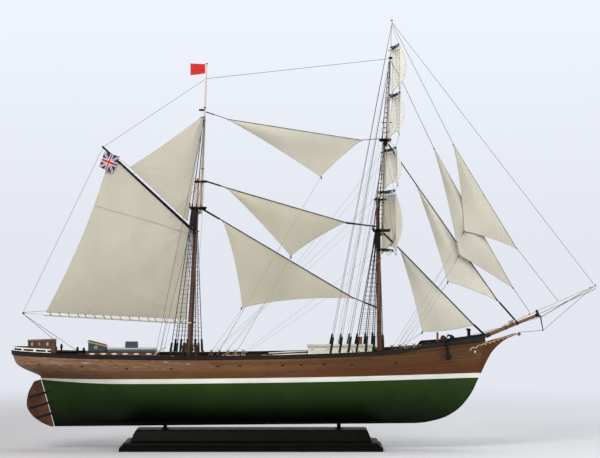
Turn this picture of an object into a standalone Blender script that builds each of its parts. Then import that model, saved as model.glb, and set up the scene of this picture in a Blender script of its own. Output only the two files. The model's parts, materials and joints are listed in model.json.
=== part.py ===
"""Two-masted sailing ship model on a display stand.

Lengths are written in millimetres and turned into metres where a mesh is made.
+X points to the bow, +Y to port, +Z up. Heights are measured from the hull's
baseline, which lies BASELINE_DROP below the underside of the stand, and the
origin is the centre of that underside.
"""

import math

import bmesh
import bpy
from mathutils import Vector

MM = 0.001
GAP = 0.3  # clearance between neighbouring pieces
BASELINE_DROP = 4.8  # from the stand's underside down to the hull's baseline

# Stand
BASE_CENTRE_X = 1.3
BASE_PROFILE = (  # half length, half width, height above the underside
    (195.5, 58.0, 0.0),
    (194.5, 57.0, 6.5),
    (188.5, 51.0, 12.5),
    (178.5, 41.0, 15.2),
    (176.0, 38.5, 23.0),
    (171.5, 34.0, 30.5),
)
POST_X = (-128.4, 131.9)
POST_LENGTH = 5.6
POST_WIDTH = 8.4

# Hull
HALF_BEAM = 72.0
PLATE = 4.4  # thickness of keel, stem and sternpost
SHELL = 3.0
DECK_MARGIN = 2.7  # the decks' edges stay this far inside the shell
STATIONS = 26
LEVELS = 9
MIDSHIP_X = -20.0
SHEER_LOW_X, SHEER_LOW = -100.0, 141.4  # the lowest point of the sheer
STERN_PROFILE = (  # (share of the depth, X, Z before the sheer's share is mixed in)
    (0.00, -287.5, 46.0),
    (0.40, -301.0, 87.5),
    (0.62, -309.0, 106.2),
    (0.71, -329.0, 111.5),
    (0.80, -346.0, 114.5),
    (0.90, -355.0, 116.0),
    (1.00, -358.0, 147.3),
)
STERNPOST = ((-287.5, 46.0), (-307.8, 108.4))  # inner edge
BOW_PROFILE = (  # (share of the depth, X, Z) up the stem
    (0.00, 250.0, 47.5),
    (0.09, 281.0, 56.0),
    (0.20, 303.0, 68.0),
    (0.31, 318.0, 81.0),
    (0.46, 331.5, 99.0),
    (0.60, 340.0, 116.0),
    (0.75, 346.5, 134.0),
    (0.88, 350.5, 152.0),
    (1.00, 353.0, 168.0),
)
KEEL_OUTLINE = (  # outer edge of sternpost, keel, stem and knee of the head
    (-313.0, 108.5),
    (-293.0, 38.6),
    (-80.0, 40.5),
    (110.0, 42.2),
    (224.0, 43.2),
    (252.0, 43.8),
    (270.0, 46.5),
    (291.0, 52.5),
    (310.0, 64.0),
    (323.0, 77.5),
    (333.0, 92.7),
    (340.5, 109.0),
    (346.0, 120.0),
    (354.0, 137.0),
    (363.0, 152.0),
    (377.0, 165.5),
    (390.0, 173.0),
    (404.0, 177.5),
    (404.0, 179.6),
    (390.0, 177.0),
    (374.0, 171.2),
    (354.0, 165.8),
)
FORECASTLE_X = 254.0  # where the bulwark steps up
BULWARK = 5.6
FORECASTLE_RAIL = (169.0, 0.112)  # height where the rail steps up, and its rise along the ship
CAP_RAIL = 1.2
PLINTH_TOP = 151.6  # of the cabin side that carries trunk and companionway

# Rudder
RUDDER_TOP = (-315.6, 112.6)
RUDDER_FOOT = (-294.8, 39.0)
RUDDER_EDGE = (  # (share of the height from the foot, depth of the blade aft of its stock)
    (0.0, 1.0),
    (0.13, 13.5),
    (0.28, 23.0),
    (0.48, 28.5),
    (0.65, 25.5),
    (0.80, 19.0),
    (0.93, 9.5),
)

# Masts and spars: both ends of the axis (X, Z) and the radii there
MAIN_LOWER_MAST = ((-91.8, 141.0), (-80.0, 408.5), 4.0, 3.0)
MAIN_TOPMAST = ((-75.0, 357.0), (-66.0, 583.0), 2.6, 0.9)
FORE_LOWER_MAST = ((193.1, 149.2), (190.0, 382.0), 3.75, 2.7)
FORE_TOPMAST = ((197.0, 324.0), (201.1, 471.5), 2.25, 1.8)
FORE_TOPGALLANT_MAST = ((205.0, 457.0), (211.5, 648.6), 1.5, 0.7)
BOWSPRIT = ((334.0, 166.9), (431.0, 206.0), 3.3, 2.1)
JIB_BOOM = ((381.0, 192.4), (519.0, 251.0), 1.5, 0.9)
DOLPHIN_STRIKER = ((434.6, 202.5), (438.5, 181.5), 1.0, 0.6)
GAFF = ((-88.6, 334.0), (-223.0, 458.5), 2.2, 1.4)
MAIN_BOOM = ((-95.6, 194.3), (-342.6, 208.5), 2.3, 1.5)

# Yards: X and Z of the middle, half length, radius in the slings and at the arm
YARDS = {
    "fore_yard": (201.0, 303.0, 140.0, 2.4, 1.2),
    "lower_topsail_yard": (204.6, 390.0, 125.0, 2.2, 1.1),
    "upper_topsail_yard": (208.0, 453.0, 112.0, 2.0, 1.0),
    "topgallant_yard": (216.0, 535.5, 88.0, 1.7, 0.9),
    "royal_yard": (216.0, 607.5, 66.0, 1.4, 0.8),
}
YARD_BRACE = math.radians(3.0)  # the starboard arms stand a little forward

# Sails
CLOTH = 0.8
TRIANGLE_SAILS = {  # head, tack, clew as (X, Y, Z), hollow of the leech and of the foot
    "flying_jib": ((304.0, 0.0, 460.5), (398.0, 0.0, 306.0), (319.5, -15.0, 331.5), 5.0, 3.0),
    "outer_jib": ((275.0, 0.0, 454.5), (393.0, 0.0, 246.0), (312.0, -15.0, 295.5), 4.0, 2.0),
    "inner_jib": ((249.0, 0.0, 399.0), (369.0, 0.0, 228.0), (295.0, -14.0, 256.5), 3.0, 2.0),
    "fore_staysail": ((224.0, 0.0, 303.0), (334.0, 0.0, 190.5), (257.0, -14.0, 181.5), 3.0, -3.0),
    "upper_staysail": ((-33.0, 0.0, 498.0), (165.0, 0.0, 467.0), (104.6, -14.0, 413.0), 4.0, 2.0),
    "middle_staysail": ((-35.0, 0.0, 395.0), (140.0, 0.0, 344.0), (60.0, -14.0, 294.5), 3.0, 3.0),
    "main_staysail": ((-41.0, 0.0, 345.0), (152.0, 0.0, 231.0), (-12.0, -16.0, 217.5), 5.0, -6.0),
}
SQUARE_SAILS = {  # head X, Z and half width, foot X, Z and half width, belly, roach
    "lower_topsail": ((207.5, 386.0, 108.0), (207.0, 297.0, 121.0), 15.0, 12.0),
    "upper_topsail": ((211.0, 450.0, 88.0), (211.0, 398.0, 106.0), 11.0, 8.0),
    "topgallant_sail": ((218.5, 533.0, 66.0), (215.0, 473.0, 88.0), 10.0, 8.0),
    "royal_sail": ((218.5, 605.5, 50.0), (218.0, 542.0, 66.0), 12.0, 8.0),
}
MAINSAIL = ((-94.6, 334.3), (-212.1, 443.2), (-307.0, 211.5), (-96.5, 200.0))  # throat, peak, clew, tack
GAFF_TOPSAIL = ((-78.5, 500.0), (-83.0, 498.0), (-181.0, 427.0), (-95.0, 346.5))
SAIL_STEPS = 6


# ---------------------------------------------------------------- helpers


def to_metres(point):
    """A point in millimetres above the baseline as a world position."""
    return Vector((point[0], point[1], point[2] - BASELINE_DROP)) * MM


def interpolate(table, share):
    """The row of a table at a share of its first column, straight between its rows."""
    for low, high in zip(table, table[1:]):
        if share <= high[0]:
            t = (share - low[0]) / (high[0] - low[0])
            return [a + (b - a) * t for a, b in zip(low[1:], high[1:])]
    return list(table[-1][1:])


def material(name, colour, roughness, metallic=0.0):
    made = bpy.data.materials.get(name)
    if made is None:
        made = bpy.data.materials.new(name)
        made.use_nodes = True
        shader = made.node_tree.nodes["Principled BSDF"]
        shader.inputs["Base Color"].default_value = (*colour, 1.0)
        shader.inputs["Roughness"].default_value = roughness
        shader.inputs["Metallic"].default_value = metallic
    return made


def finish(name, bm, finish_material, smooth=True):
    """Closes off a bmesh in millimetres as a named object in metres."""
    for vertex in bm.verts:
        vertex.co = to_metres(vertex.co)
    bmesh.ops.recalc_face_normals(bm, faces=bm.faces)
    mesh = bpy.data.meshes.new(name)
    bm.to_mesh(mesh)
    bm.free()
    if smooth:
        mesh.shade_smooth()
        mesh.set_sharp_from_angle(angle=math.radians(35))
    mesh.materials.append(finish_material)
    made = bpy.data.objects.new(name, mesh)
    bpy.context.scene.collection.objects.link(made)
    return made


def add_loft(bm, rings):
    """Joins closed rings of points, one after another, with flat caps on both ends."""
    loops = [[bm.verts.new(point) for point in ring] for ring in rings]
    for loop, following in zip(loops, loops[1:]):
        for i, vertex in enumerate(loop):
            j = (i + 1) % len(loop)
            bm.faces.new((vertex, loop[j], following[j], following[i]))
    bm.faces.new(loops[0])
    bm.faces.new(list(reversed(loops[-1])))


def loft(name, rings, finish_material, smooth=True):
    bm = bmesh.new()
    add_loft(bm, rings)
    return finish(name, bm, finish_material, smooth)


def ring_about(centre, axis, radius, sides):
    """A circle of points across an axis."""
    turn = Vector(axis).to_track_quat("Z", "Y")
    points = []
    for i in range(sides):
        angle = math.tau * i / sides
        points.append(Vector(centre) + turn @ Vector((math.cos(angle), math.sin(angle), 0.0)) * radius)
    return points


def turned(name, start, end, profile, finish_material, sides=10):
    """A round piece between two points; its profile is (share of the length, radius) rows."""
    start, end = Vector(start), Vector(end)
    rings = [ring_about(start.lerp(end, share), end - start, radius, sides) for share, radius in profile]
    return loft(name, rings, finish_material)


def spar(name, ends, finish_material, sides=10):
    """A tapered round spar on the centreline with softened ends."""
    (x0, z0), (x1, z1), r0, r1 = ends
    profile = (
        (0.0, r0 * 0.8),
        (0.006, r0),
        (0.5, r0 + (r1 - r0) * 0.4),
        (0.994, r1),
        (1.0, r1 * 0.7),
    )
    return turned(name, (x0, 0.0, z0), (x1, 0.0, z1), profile, finish_material, sides)


def extruded(name, outline, low_y, high_y, finish_material):
    """A flat piece from an (X, Z) outline, between two Y values."""
    rings = [[(x, y, z) for x, z in outline] for y in (low_y, high_y)]
    return loft(name, rings, finish_material, smooth=False)


def block_rings(rows):
    """Rings of a piece of rectangular plan: rows of (X0, X1, half width, Z at X0, Z at X1)."""
    rings = []
    for x0, x1, half, z0, z1 in rows:
        rings.append([(x0, -half, z0), (x1, -half, z1), (x1, half, z1), (x0, half, z0)])
    return rings


def bored(piece, bores):
    """Cuts round holes along given axes: (start, end, radius) rows in millimetres."""
    for number, (start, end, radius) in enumerate(bores):
        cutter = turned(
            f"{piece.name}_bore_{number}", start, end, ((0.0, radius), (1.0, radius)), piece.data.materials[0], 12
        )
        cutter.hide_render = True
        cutter.display_type = "WIRE"
        cut = piece.modifiers.new(f"bore {number}", "BOOLEAN")
        cut.operation = "DIFFERENCE"
        cut.object = cutter
    return piece


def fused(piece, others):
    """Makes one body of a piece and others that pass through it."""
    for other in others:
        other.hide_render = True
        other.display_type = "WIRE"
        joint = piece.modifiers.new(f"union {other.name}", "BOOLEAN")
        joint.operation = "UNION"
        joint.object = other
    return piece


def along(ends, z):
    """X on a spar's axis at a height."""
    (x0, z0), (x1, z1) = ends[:2]
    return x0 + (x1 - x0) * (z - z0) / (z1 - z0)


# ---------------------------------------------------------------- hull form


def sheer(x):
    """Height of the shell's top edge."""
    along_fore = max(x - SHEER_LOW_X, 0.0) / (BOW_PROFILE[-1][1] - SHEER_LOW_X)
    along_aft = max(SHEER_LOW_X - x, 0.0) / (SHEER_LOW_X - STERN_PROFILE[-1][1])
    return SHEER_LOW + 9.5 * along_fore**1.5 + 17.1 * along_fore**4.5 + 5.9 * along_aft**1.7


def midship_breadth(v):
    """Half breadth amidships at a share of the depth: a short floor, a round bilge, upright sides."""
    rise = min(v / 0.62, 1.0)
    return HALF_BEAM * (1.0 - (1.0 - rise) ** 2.3) ** 0.62 * (1.0 - 0.03 * max(v - 0.7, 0.0) / 0.3)


def hull_point(u, v, inset=0.0, end_half=PLATE / 2):
    """A point of the starboard side: u runs from the stern to the bow, v from keel to sheer.

    An inset moves the surface inward, in from both ends and up from the keel.
    """
    stern_x, stern_z = interpolate(STERN_PROFILE, v)
    bow_x, bow_z = interpolate(BOW_PROFILE, v)
    stern_x += inset * 1.6
    bow_x -= inset * 2.0
    x = stern_x + (bow_x - stern_x) * u
    middle = (MIDSHIP_X - stern_x) / (bow_x - stern_x)
    middle_z = 45.7 + (sheer(MIDSHIP_X) - 45.7) * v
    if u < middle:
        away = 1.0 - u / middle
        z = middle_z + (stern_z - middle_z) * away ** (2.2 + 0.6 * (1.0 - v))
        fullness, sharpness = 2.0 + 1.8 * v, 1.9 - 1.4 * min(v / 0.85, 1.0)
    else:
        away = (u - middle) / (1.0 - middle)
        z = middle_z + (bow_z - middle_z) * away**2.2
        fullness, sharpness = 2.0 + 0.9 * v, 1.7 - 0.72 * v
    z = z * (1.0 - v**4) + sheer(x) * v**4
    z += inset * (1.0 - v)
    shape = max(1.0 - away**fullness, 0.0) ** sharpness
    breadth = max(midship_breadth(v) - inset, end_half)
    return Vector((x, -(end_half + (breadth - end_half) * shape), z))


def station_shares():
    """Shares of the length, drawn together towards bow and stern."""
    raw = [0.5 - 0.5 * math.cos(math.pi * i / STATIONS) for i in range(STATIONS + 1)]
    return [0.35 * i / STATIONS + 0.65 * share for i, share in enumerate(raw)]


def mirrored(point):
    return Vector((point[0], -point[1], point[2]))


def port_point_at(x, v, inset=0.0):
    """The port side's point at a place along the hull, found by halving."""
    low, high = 0.0, 1.0
    for _ in range(24):
        half = (low + high) / 2
        if hull_point(half, v, inset).x < x:
            low = half
        else:
            high = half
    return mirrored(hull_point(low, v, inset))


def side_at(x, v, inset=0.0):
    """The hull's half breadth at a place along it."""
    return port_point_at(x, v, inset).y


def make_shell():
    """The open-topped hull shell: an outer and an inner skin joined along the sheer."""
    bm = bmesh.new()
    shares = station_shares()
    depths = [(i / LEVELS) ** 0.9 for i in range(LEVELS + 1)]
    skins = []
    for inset, end_half in ((0.0, PLATE / 2), (SHELL, 0.6)):
        sides = []
        for turn in (Vector, mirrored):
            sides.append(
                [[bm.verts.new(turn(hull_point(u, v, inset, end_half))) for u in shares] for v in depths]
            )
        skins.append(sides)
    for starboard, port in skins:
        for side in (starboard, port):
            for row, above in zip(side, side[1:]):
                for i in range(STATIONS):
                    bm.faces.new((row[i], row[i + 1], above[i + 1], above[i]))
        for i in range(STATIONS):
            bm.faces.new((starboard[0][i], port[0][i], port[0][i + 1], starboard[0][i + 1]))
        for end in (0, STATIONS):
            for j in range(LEVELS):
                bm.faces.new((starboard[j][end], starboard[j + 1][end], port[j + 1][end], port[j][end]))
    outer, inner = skins
    for k in range(2):
        for i in range(STATIONS):
            bm.faces.new((outer[k][-1][i], outer[k][-1][i + 1], inner[k][-1][i + 1], inner[k][-1][i]))
    for end in (0, STATIONS):
        bm.faces.new((outer[0][-1][end], inner[0][-1][end], inner[1][-1][end], outer[1][-1][end]))
    return finish("hull_shell", bm, material("hull paint", (0.02, 0.09, 0.04), 0.4))


def make_backbone():
    """Keel, stem with the knee of the head, and sternpost, as one flat timber."""
    inner = [(x + GAP + 0.1, z - GAP) for _, x, z in reversed(BOW_PROFILE)]
    bottom = [hull_point(u / 8, 0.0) for u in range(7, 0, -1)]
    inner += [(point.x, point.z - GAP) for point in bottom]
    inner += [(x - GAP, z - GAP * 2) for x, z in STERNPOST]
    outline = list(KEEL_OUTLINE) + inner
    return extruded("backbone", outline, -PLATE / 2, PLATE / 2, material("keel timber", (0.12, 0.07, 0.03), 0.5))


def make_inner_frames():
    """False keel and bulkheads inside the shell, slotted into one another."""
    timber = material("plywood", (0.55, 0.4, 0.22), 0.7)
    top = 136.0
    spine = [(-280.0, top), (-280.0, 84.0), (-236.0, 56.0), (222.0, 56.0), (278.0, 82.0), (304.0, 115.0), (304.0, top)]
    keel = extruded("inner_frames", spine, -1.5, 1.5, timber)
    bulkheads = []
    for number, x in enumerate(range(-232, 240, 92)):
        section = []
        for v in (0.16, 0.28, 0.4, 0.6, 0.84):
            edge = port_point_at(x, v, SHELL + 3.6)
            section.append((max(edge.y, 3.0), min(edge.z + 2.0, top)))
        ring = [(-half, z) for half, z in section] + [(half, z) for half, z in reversed(section)]
        rings = [[(x + offset, y, z) for y, z in ring] for offset in (-1.0, 1.0)]
        bulkheads.append(loft(f"bulkhead_{number}", rings, timber, smooth=False))
    return fused(keel, bulkheads)


def deck_height(x):
    return sheer(x) - 3.2


def make_deck(name, start, end, height, edge_v, thickness, count):
    """A cambered deck between two stations, inside the hull."""
    bm = bmesh.new()
    across = (-1.0, -0.55, 0.0, 0.55, 1.0)
    layers = []
    for drop in (0.0, thickness):
        rows = []
        for i in range(count + 1):
            x = start + (end - start) * i / count
            half = side_at(x, edge_v, SHELL) - DECK_MARGIN
            row = [bm.verts.new((x, half * s, height(x) + 2.0 * (1.0 - s * s) - drop)) for s in across]
            rows.append(row)
        layers.append(rows)
    top, bottom = layers
    for rows in layers:
        for row, following in zip(rows, rows[1:]):
            for j in range(len(across) - 1):
                bm.faces.new((row[j], row[j + 1], following[j + 1], following[j]))
    for j in (0, len(across) - 1):
        for i in range(count):
            bm.faces.new((top[i][j], top[i + 1][j], bottom[i + 1][j], bottom[i][j]))
    for i in (0, count):
        for j in range(len(across) - 1):
            bm.faces.new((top[i][j], top[i][j + 1], bottom[i][j + 1], bottom[i][j]))
    return finish(name, bm, material("deck planks", (0.55, 0.4, 0.24), 0.6))


def bulwark_height(x):
    """Height of the bulwark above the sheer, with a short rise onto the forecastle."""
    step = min(max((x - FORECASTLE_X) / 5.0 + 0.5, 0.0), 1.0)
    raised = FORECASTLE_RAIL[0] + FORECASTLE_RAIL[1] * (x - FORECASTLE_X) - sheer(x)
    return BULWARK + (raised - BULWARK) * step * step * (3.0 - 2.0 * step)


def make_bulwarks():
    """One wall round the stern and both sides, open at the bow for the bowsprit, with its cap rail."""
    shares = [0.982 - 0.982 * i / 30 for i in range(31)]
    shares = sorted(set(shares + [0.8600, 0.8640, 0.8680, 0.8720]), reverse=True)
    rings = []
    for turn in (Vector, mirrored):
        side = []
        for u in shares:
            outer = hull_point(u, 1.0)
            inner = hull_point(u, 1.0, SHELL, 1.4)
            across = (inner - outer) * Vector((1.0, 1.0, 0.0))
            base = outer.z + GAP
            top = outer.z + bulwark_height(outer.x)
            wall = outer + across * 0.6
            out = outer - across.normalized() * 0.7
            rail = outer + across * 0.85
            section = [
                (outer, base),
                (outer, top - CAP_RAIL),
                (out, top - CAP_RAIL),
                (out, top),
                (rail, top),
                (rail, top - CAP_RAIL),
                (wall, top - CAP_RAIL),
                (wall, base),
            ]
            side.append([turn(Vector((point.x, point.y, z))) for point, z in section])
        rings.append(side)
    starboard, port = rings
    return loft("bulwarks", starboard + list(reversed(port)), material("black paint", (0.02, 0.015, 0.02), 0.45))


def lattice(name, columns, rows, point, is_hole, depth, finish_material):
    """A thin wall of cells over a grid, with the given cells left open."""
    bm = bmesh.new()
    sides = []
    for offset in (-0.5, 0.5):
        sides.append(
            [[bm.verts.new(point(c, r) + depth(c, r) * offset) for r in range(rows + 1)] for c in range(columns + 1)]
        )
    near, far = sides

    def solid(c, r):
        return 0 <= c < columns and 0 <= r < rows and not is_hole(c, r)

    for c in range(columns):
        for r in range(rows):
            if not solid(c, r):
                continue
            corners = ((c, r), (c + 1, r), (c + 1, r + 1), (c, r + 1))
            bm.faces.new([near[i][j] for i, j in corners])
            bm.faces.new([far[i][j] for i, j in reversed(corners)])
            neighbours = ((c, r - 1), (c + 1, r), (c, r + 1), (c - 1, r))
            for k, beside in enumerate(neighbours):
                if not solid(*beside):
                    a, b = corners[k], corners[(k + 1) % 4]
                    bm.faces.new((near[b[0]][b[1]], near[a[0]][a[1]], far[a[0]][a[1]], far[b[0]][b[1]]))
    return finish(name, bm, finish_material, smooth=False)


def make_stern_railing():
    """The open white rail that stands on the cap rail round the stern."""
    stanchions = 6
    columns = 4 * stanchions + 1
    foot_v, reach = 1.0, 0.055

    def place(c, r):
        share = (c / columns * 2.0 - 1.0) * reach
        base = hull_point(abs(share), foot_v, 1.0)
        side = base if share < 0 else mirrored(base)
        z = base.z + BULWARK + GAP + (0.0, 1.2, 5.2, 6.8)[r]
        return Vector((side.x, side.y, z))

    def thickness(c, r):
        a = place(max(c - 1, 0), r)
        b = place(min(c + 1, columns), r)
        return Vector((a.y - b.y, b.x - a.x, 0.0)).normalized() * 1.4

    def is_hole(c, r):
        return r == 1 and c % 4 != 0

    return lattice(
        "stern_railing", columns, 3, place, is_hole, thickness, material("white paint", (0.85, 0.84, 0.8), 0.5)
    )


def make_rudder():
    """A hinged blade with a rounded leading edge, tapering to its trailing edge."""
    foot, top = Vector((RUDDER_FOOT[0], 0.0, RUDDER_FOOT[1])), Vector((RUDDER_TOP[0], 0.0, RUDDER_TOP[1]))
    up = (top - foot).normalized()
    aft = Vector((-up.z, 0.0, up.x))
    centre_offset = aft * 2.0
    rings = []
    for share, reach in RUDDER_EDGE:
        centre = foot.lerp(top, share) + centre_offset
        ring = []
        for i in range(7):
            angle = math.pi * (i / 6 - 0.5)
            ring.append(centre - aft * (1.7 * math.cos(angle)) + Vector((0.0, 1.7 * math.sin(angle), 0.0)))
        ring.append(centre + aft * reach + Vector((0.0, 0.9, 0.0)))
        ring.append(centre + aft * (reach + 0.6))
        ring.append(centre + aft * reach - Vector((0.0, 0.9, 0.0)))
        rings.append(ring)
    return loft("rudder", rings, material("rudder planks", (0.3, 0.1, 0.05), 0.45))


# ---------------------------------------------------------------- stand


def make_stand():
    black = material("black stand", (0.012, 0.012, 0.014), 0.3)
    rings = []
    for length, width, height in BASE_PROFILE:
        z = height + BASELINE_DROP
        low, high = BASE_CENTRE_X - length, BASE_CENTRE_X + length
        rings.append([(low, -width, z), (high, -width, z), (high, width, z), (low, width, z)])
    loft("stand_base", rings, black, smooth=False)
    base_top = BASE_PROFILE[-1][2] + BASELINE_DROP + GAP
    (aft_x, aft_z), (fore_x, fore_z) = KEEL_OUTLINE[1], KEEL_OUTLINE[4]
    for name, x in zip(("stand_post_aft", "stand_post_fore"), POST_X):
        keel = aft_z + (fore_z - aft_z) * (x - aft_x) / (fore_x - aft_x) - GAP
        slot = PLATE / 2 + GAP
        half = POST_WIDTH / 2
        fork = [(-half, base_top), (half, base_top), (half, keel + 4.0), (slot, keel + 4.0), (slot, keel)]
        fork += [(-slot, keel), (-slot, keel + 4.0), (-half, keel + 4.0)]
        rings = [[(x + offset, y, z) for y, z in fork] for offset in (-POST_LENGTH / 2, POST_LENGTH / 2)]
        loft(name, rings, black, smooth=False)


# ---------------------------------------------------------------- deck fittings


def deck_top(x):
    return deck_height(x) + 2.0


def make_house(name, x0, x1, half, top_aft, top_fore, overhang, finish_material, foot=None):
    """A deckhouse with upright walls and an overhanging roof, standing on the deck or a plinth."""
    foot = foot or max(deck_top(x0), deck_top(x1)) + GAP
    rows = [
        (x0, x1, half, foot, foot),
        (x0, x1, half, top_aft - 1.6, top_fore - 1.6),
        (x0 - overhang, x1 + overhang, half + overhang, top_aft - 1.5, top_fore - 1.5),
        (x0 - overhang, x1 + overhang, half + overhang, top_aft - 0.6, top_fore - 0.6),
        (x0, x1, half * 0.7, top_aft, top_fore),
    ]
    return loft(name, block_rings(rows), finish_material, smooth=False)


def make_deck_fittings():
    grey = material("blue grey paint", (0.2, 0.27, 0.32), 0.5)
    panels = material("brown panels", (0.25, 0.13, 0.08), 0.5)
    make_house("wheelhouse", -333.0, -293.0, 13.0, 170.0, 168.5, 1.0, panels)
    foot = deck_top(-246.0) + GAP
    trunk = [  # a low cabin side, and on it the narrower trunk with its roof
        (-246.0, -140.0, 17.6, foot, foot),
        (-246.0, -140.0, 17.6, PLINTH_TOP, PLINTH_TOP),
        (-214.0, -142.0, 17.0, PLINTH_TOP, PLINTH_TOP),
        (-214.0, -142.0, 17.0, 154.8, 154.8),
        (-214.8, -141.2, 17.8, 154.9, 154.9),
        (-214.8, -141.2, 17.8, 155.8, 155.8),
        (-214.0, -142.0, 11.9, 156.4, 156.4),
    ]
    loft("cabin_trunk", block_rings(trunk), grey, smooth=False)
    make_house("companionway", -243.0, -216.0, 11.0, 166.8, 159.8, 0.8, grey, PLINTH_TOP + GAP)
    skylight = block_rings(
        [(-188.0, -169.5, 9.0, 156.8, 156.8), (-188.0, -169.5, 9.0, 164.4, 164.4), (-187.0, -170.5, 4.0, 165.6, 165.6)]
    )
    loft("skylight", skylight, grey, smooth=False)
    foot = deck_top(180.0) + GAP
    walls = block_rings([(85.5, 181.0, 21.0, foot, foot), (85.5, 181.0, 21.0, 159.4, 159.4)])
    loft("deckhouse", walls, material("white paint", (0.85, 0.84, 0.8), 0.5), smooth=False)
    roof = [
        (84.0, 182.5, 22.5, 159.7, 159.7),
        (84.0, 182.5, 22.5, 160.7, 160.7),
        (84.5, 182.0, 12.0, 161.7, 161.7),
    ]
    loft("deckhouse_roof", block_rings(roof), material("roof", (0.5, 0.5, 0.44), 0.6), smooth=False)
    make_fife_rail()
    make_windlass()
    make_anchors()


def make_fife_rail():
    """A pin rail on posts round three sides of the main mast."""
    dark = material("dark timber", (0.08, 0.035, 0.02), 0.5)
    centre = along(MAIN_LOWER_MAST, 155.0)
    z = 158.0
    outline = [
        (centre - 12.0, -11.0),
        (centre + 10.0, -11.0),
        (centre + 10.0, 11.0),
        (centre - 12.0, 11.0),
        (centre - 12.0, 9.0),
        (centre + 8.0, 9.0),
        (centre + 8.0, -9.0),
        (centre - 12.0, -9.0),
    ]
    rail = loft("main_fife_rail", [[(x, y, h) for x, y in outline] for h in (z, z + 1.8)], dark, smooth=False)
    foot = deck_top(centre + 10.0) + GAP
    posts = []
    for number, (dx, y) in enumerate(((-10.5, -10.0), (9.0, -10.0), (9.0, 10.0), (-10.5, 10.0))):
        ring = [(centre + dx + a, y + b) for a, b in ((-0.8, -0.8), (0.8, -0.8), (0.8, 0.8), (-0.8, 0.8))]
        posts.append(loft(f"fife_post_{number}", [[(x, w, h) for x, w in ring] for h in (foot, z + 1.0)], dark))
    return fused(rail, posts)


def make_windlass():
    """A barrel with whelps between two cheeks on the forecastle deck."""
    dark = material("dark timber", (0.08, 0.035, 0.02), 0.5)
    x, z = 289.0, forecastle_height(289.0) + 9.0
    profile = ((0.0, 2.2), (0.16, 2.2), (0.16001, 4.0), (0.3, 3.0), (0.45, 4.0), (0.55, 4.0), (0.7, 3.0), (0.83999, 4.0))
    profile += ((0.84, 2.2), (1.0, 2.2))
    barrel = turned("windlass", (x, -17.0, z), (x, 17.0, z), profile, dark, 10)
    cheeks = []
    for number, y in enumerate((-13.2, 13.2)):
        foot = forecastle_height(x + 3.0) + 2.0 + GAP
        rows = ((x - 3.0, foot), (x + 3.0, foot), (x + 2.0, z + 3.5), (x - 2.0, z + 3.5))
        rings = [[(a, y + b, h) for a, h in rows] for b in (-0.9, 0.9)]
        cheeks.append(loft(f"windlass_cheek_{number}", rings, dark, smooth=False))
    return fused(barrel, cheeks)


def make_anchors():
    """Stocked anchors, stowed upright against each bow."""
    iron = material("black iron", (0.02, 0.02, 0.02), 0.5, 0.6)
    x, high = 294.5, 166.0
    outline = [
        (-1.2, 0.0),
        (-1.2, -6.0),
        (-6.0, -6.2),
        (-6.0, -8.4),
        (-1.2, -8.2),
        (-1.1, -22.0),
        (-4.2, -20.6),
        (-6.6, -17.0),
        (-7.2, -21.5),
        (-4.0, -25.2),
        (0.0, -26.4),
        (4.0, -25.2),
        (7.2, -21.5),
        (6.6, -17.0),
        (4.2, -20.6),
        (1.1, -22.0),
        (1.2, -8.2),
        (6.0, -8.4),
        (6.0, -6.2),
        (1.2, -6.0),
        (1.2, 0.0),
    ]
    fore, aft = side_at(x + 8.0, 0.9), side_at(x - 8.0, 0.9)
    slope = (aft - fore) / 16.0
    for name, side in (("anchor_starboard", -1.0), ("anchor_port", 1.0)):
        rings = []
        for out in (2.0, 4.2):
            ring = []
            for dx, dz in outline:
                distance = aft - slope * (dx + 8.0) + 2.6 + out
                ring.append((x + dx, side * distance, high + dz))
            rings.append(ring)
        loft(name, rings, iron, smooth=False)


def forecastle_height(x):
    return 158.6 + 0.075 * (x - FORECASTLE_X)


# ---------------------------------------------------------------- masts, tops and spars


def make_platform(name, z, x0, x1, half, thickness, masts):
    """A top, cap or crosstree plate bored for the masts that pass through it."""
    rings = [
        [(x0, -half, h), (x1 - 2.0, -half, h), (x1, -half + 2.0, h), (x1, half - 2.0, h), (x1 - 2.0, half, h), (x0, half, h)]
        for h in (z - thickness, z)
    ]
    plate = loft(name, rings, material("black paint", (0.02, 0.015, 0.02), 0.45), smooth=False)
    bores = []
    for mast in masts:
        share = (z - mast[0][1]) / (mast[1][1] - mast[0][1])
        radius = mast[2] + (mast[3] - mast[2]) * 0.8 * share + GAP + 0.25
        ends = [(along(mast, h), 0.0, h) for h in (z - thickness - 6.0, z + 6.0)]
        bores.append((*ends, radius))
    return bored(plate, bores)


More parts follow.
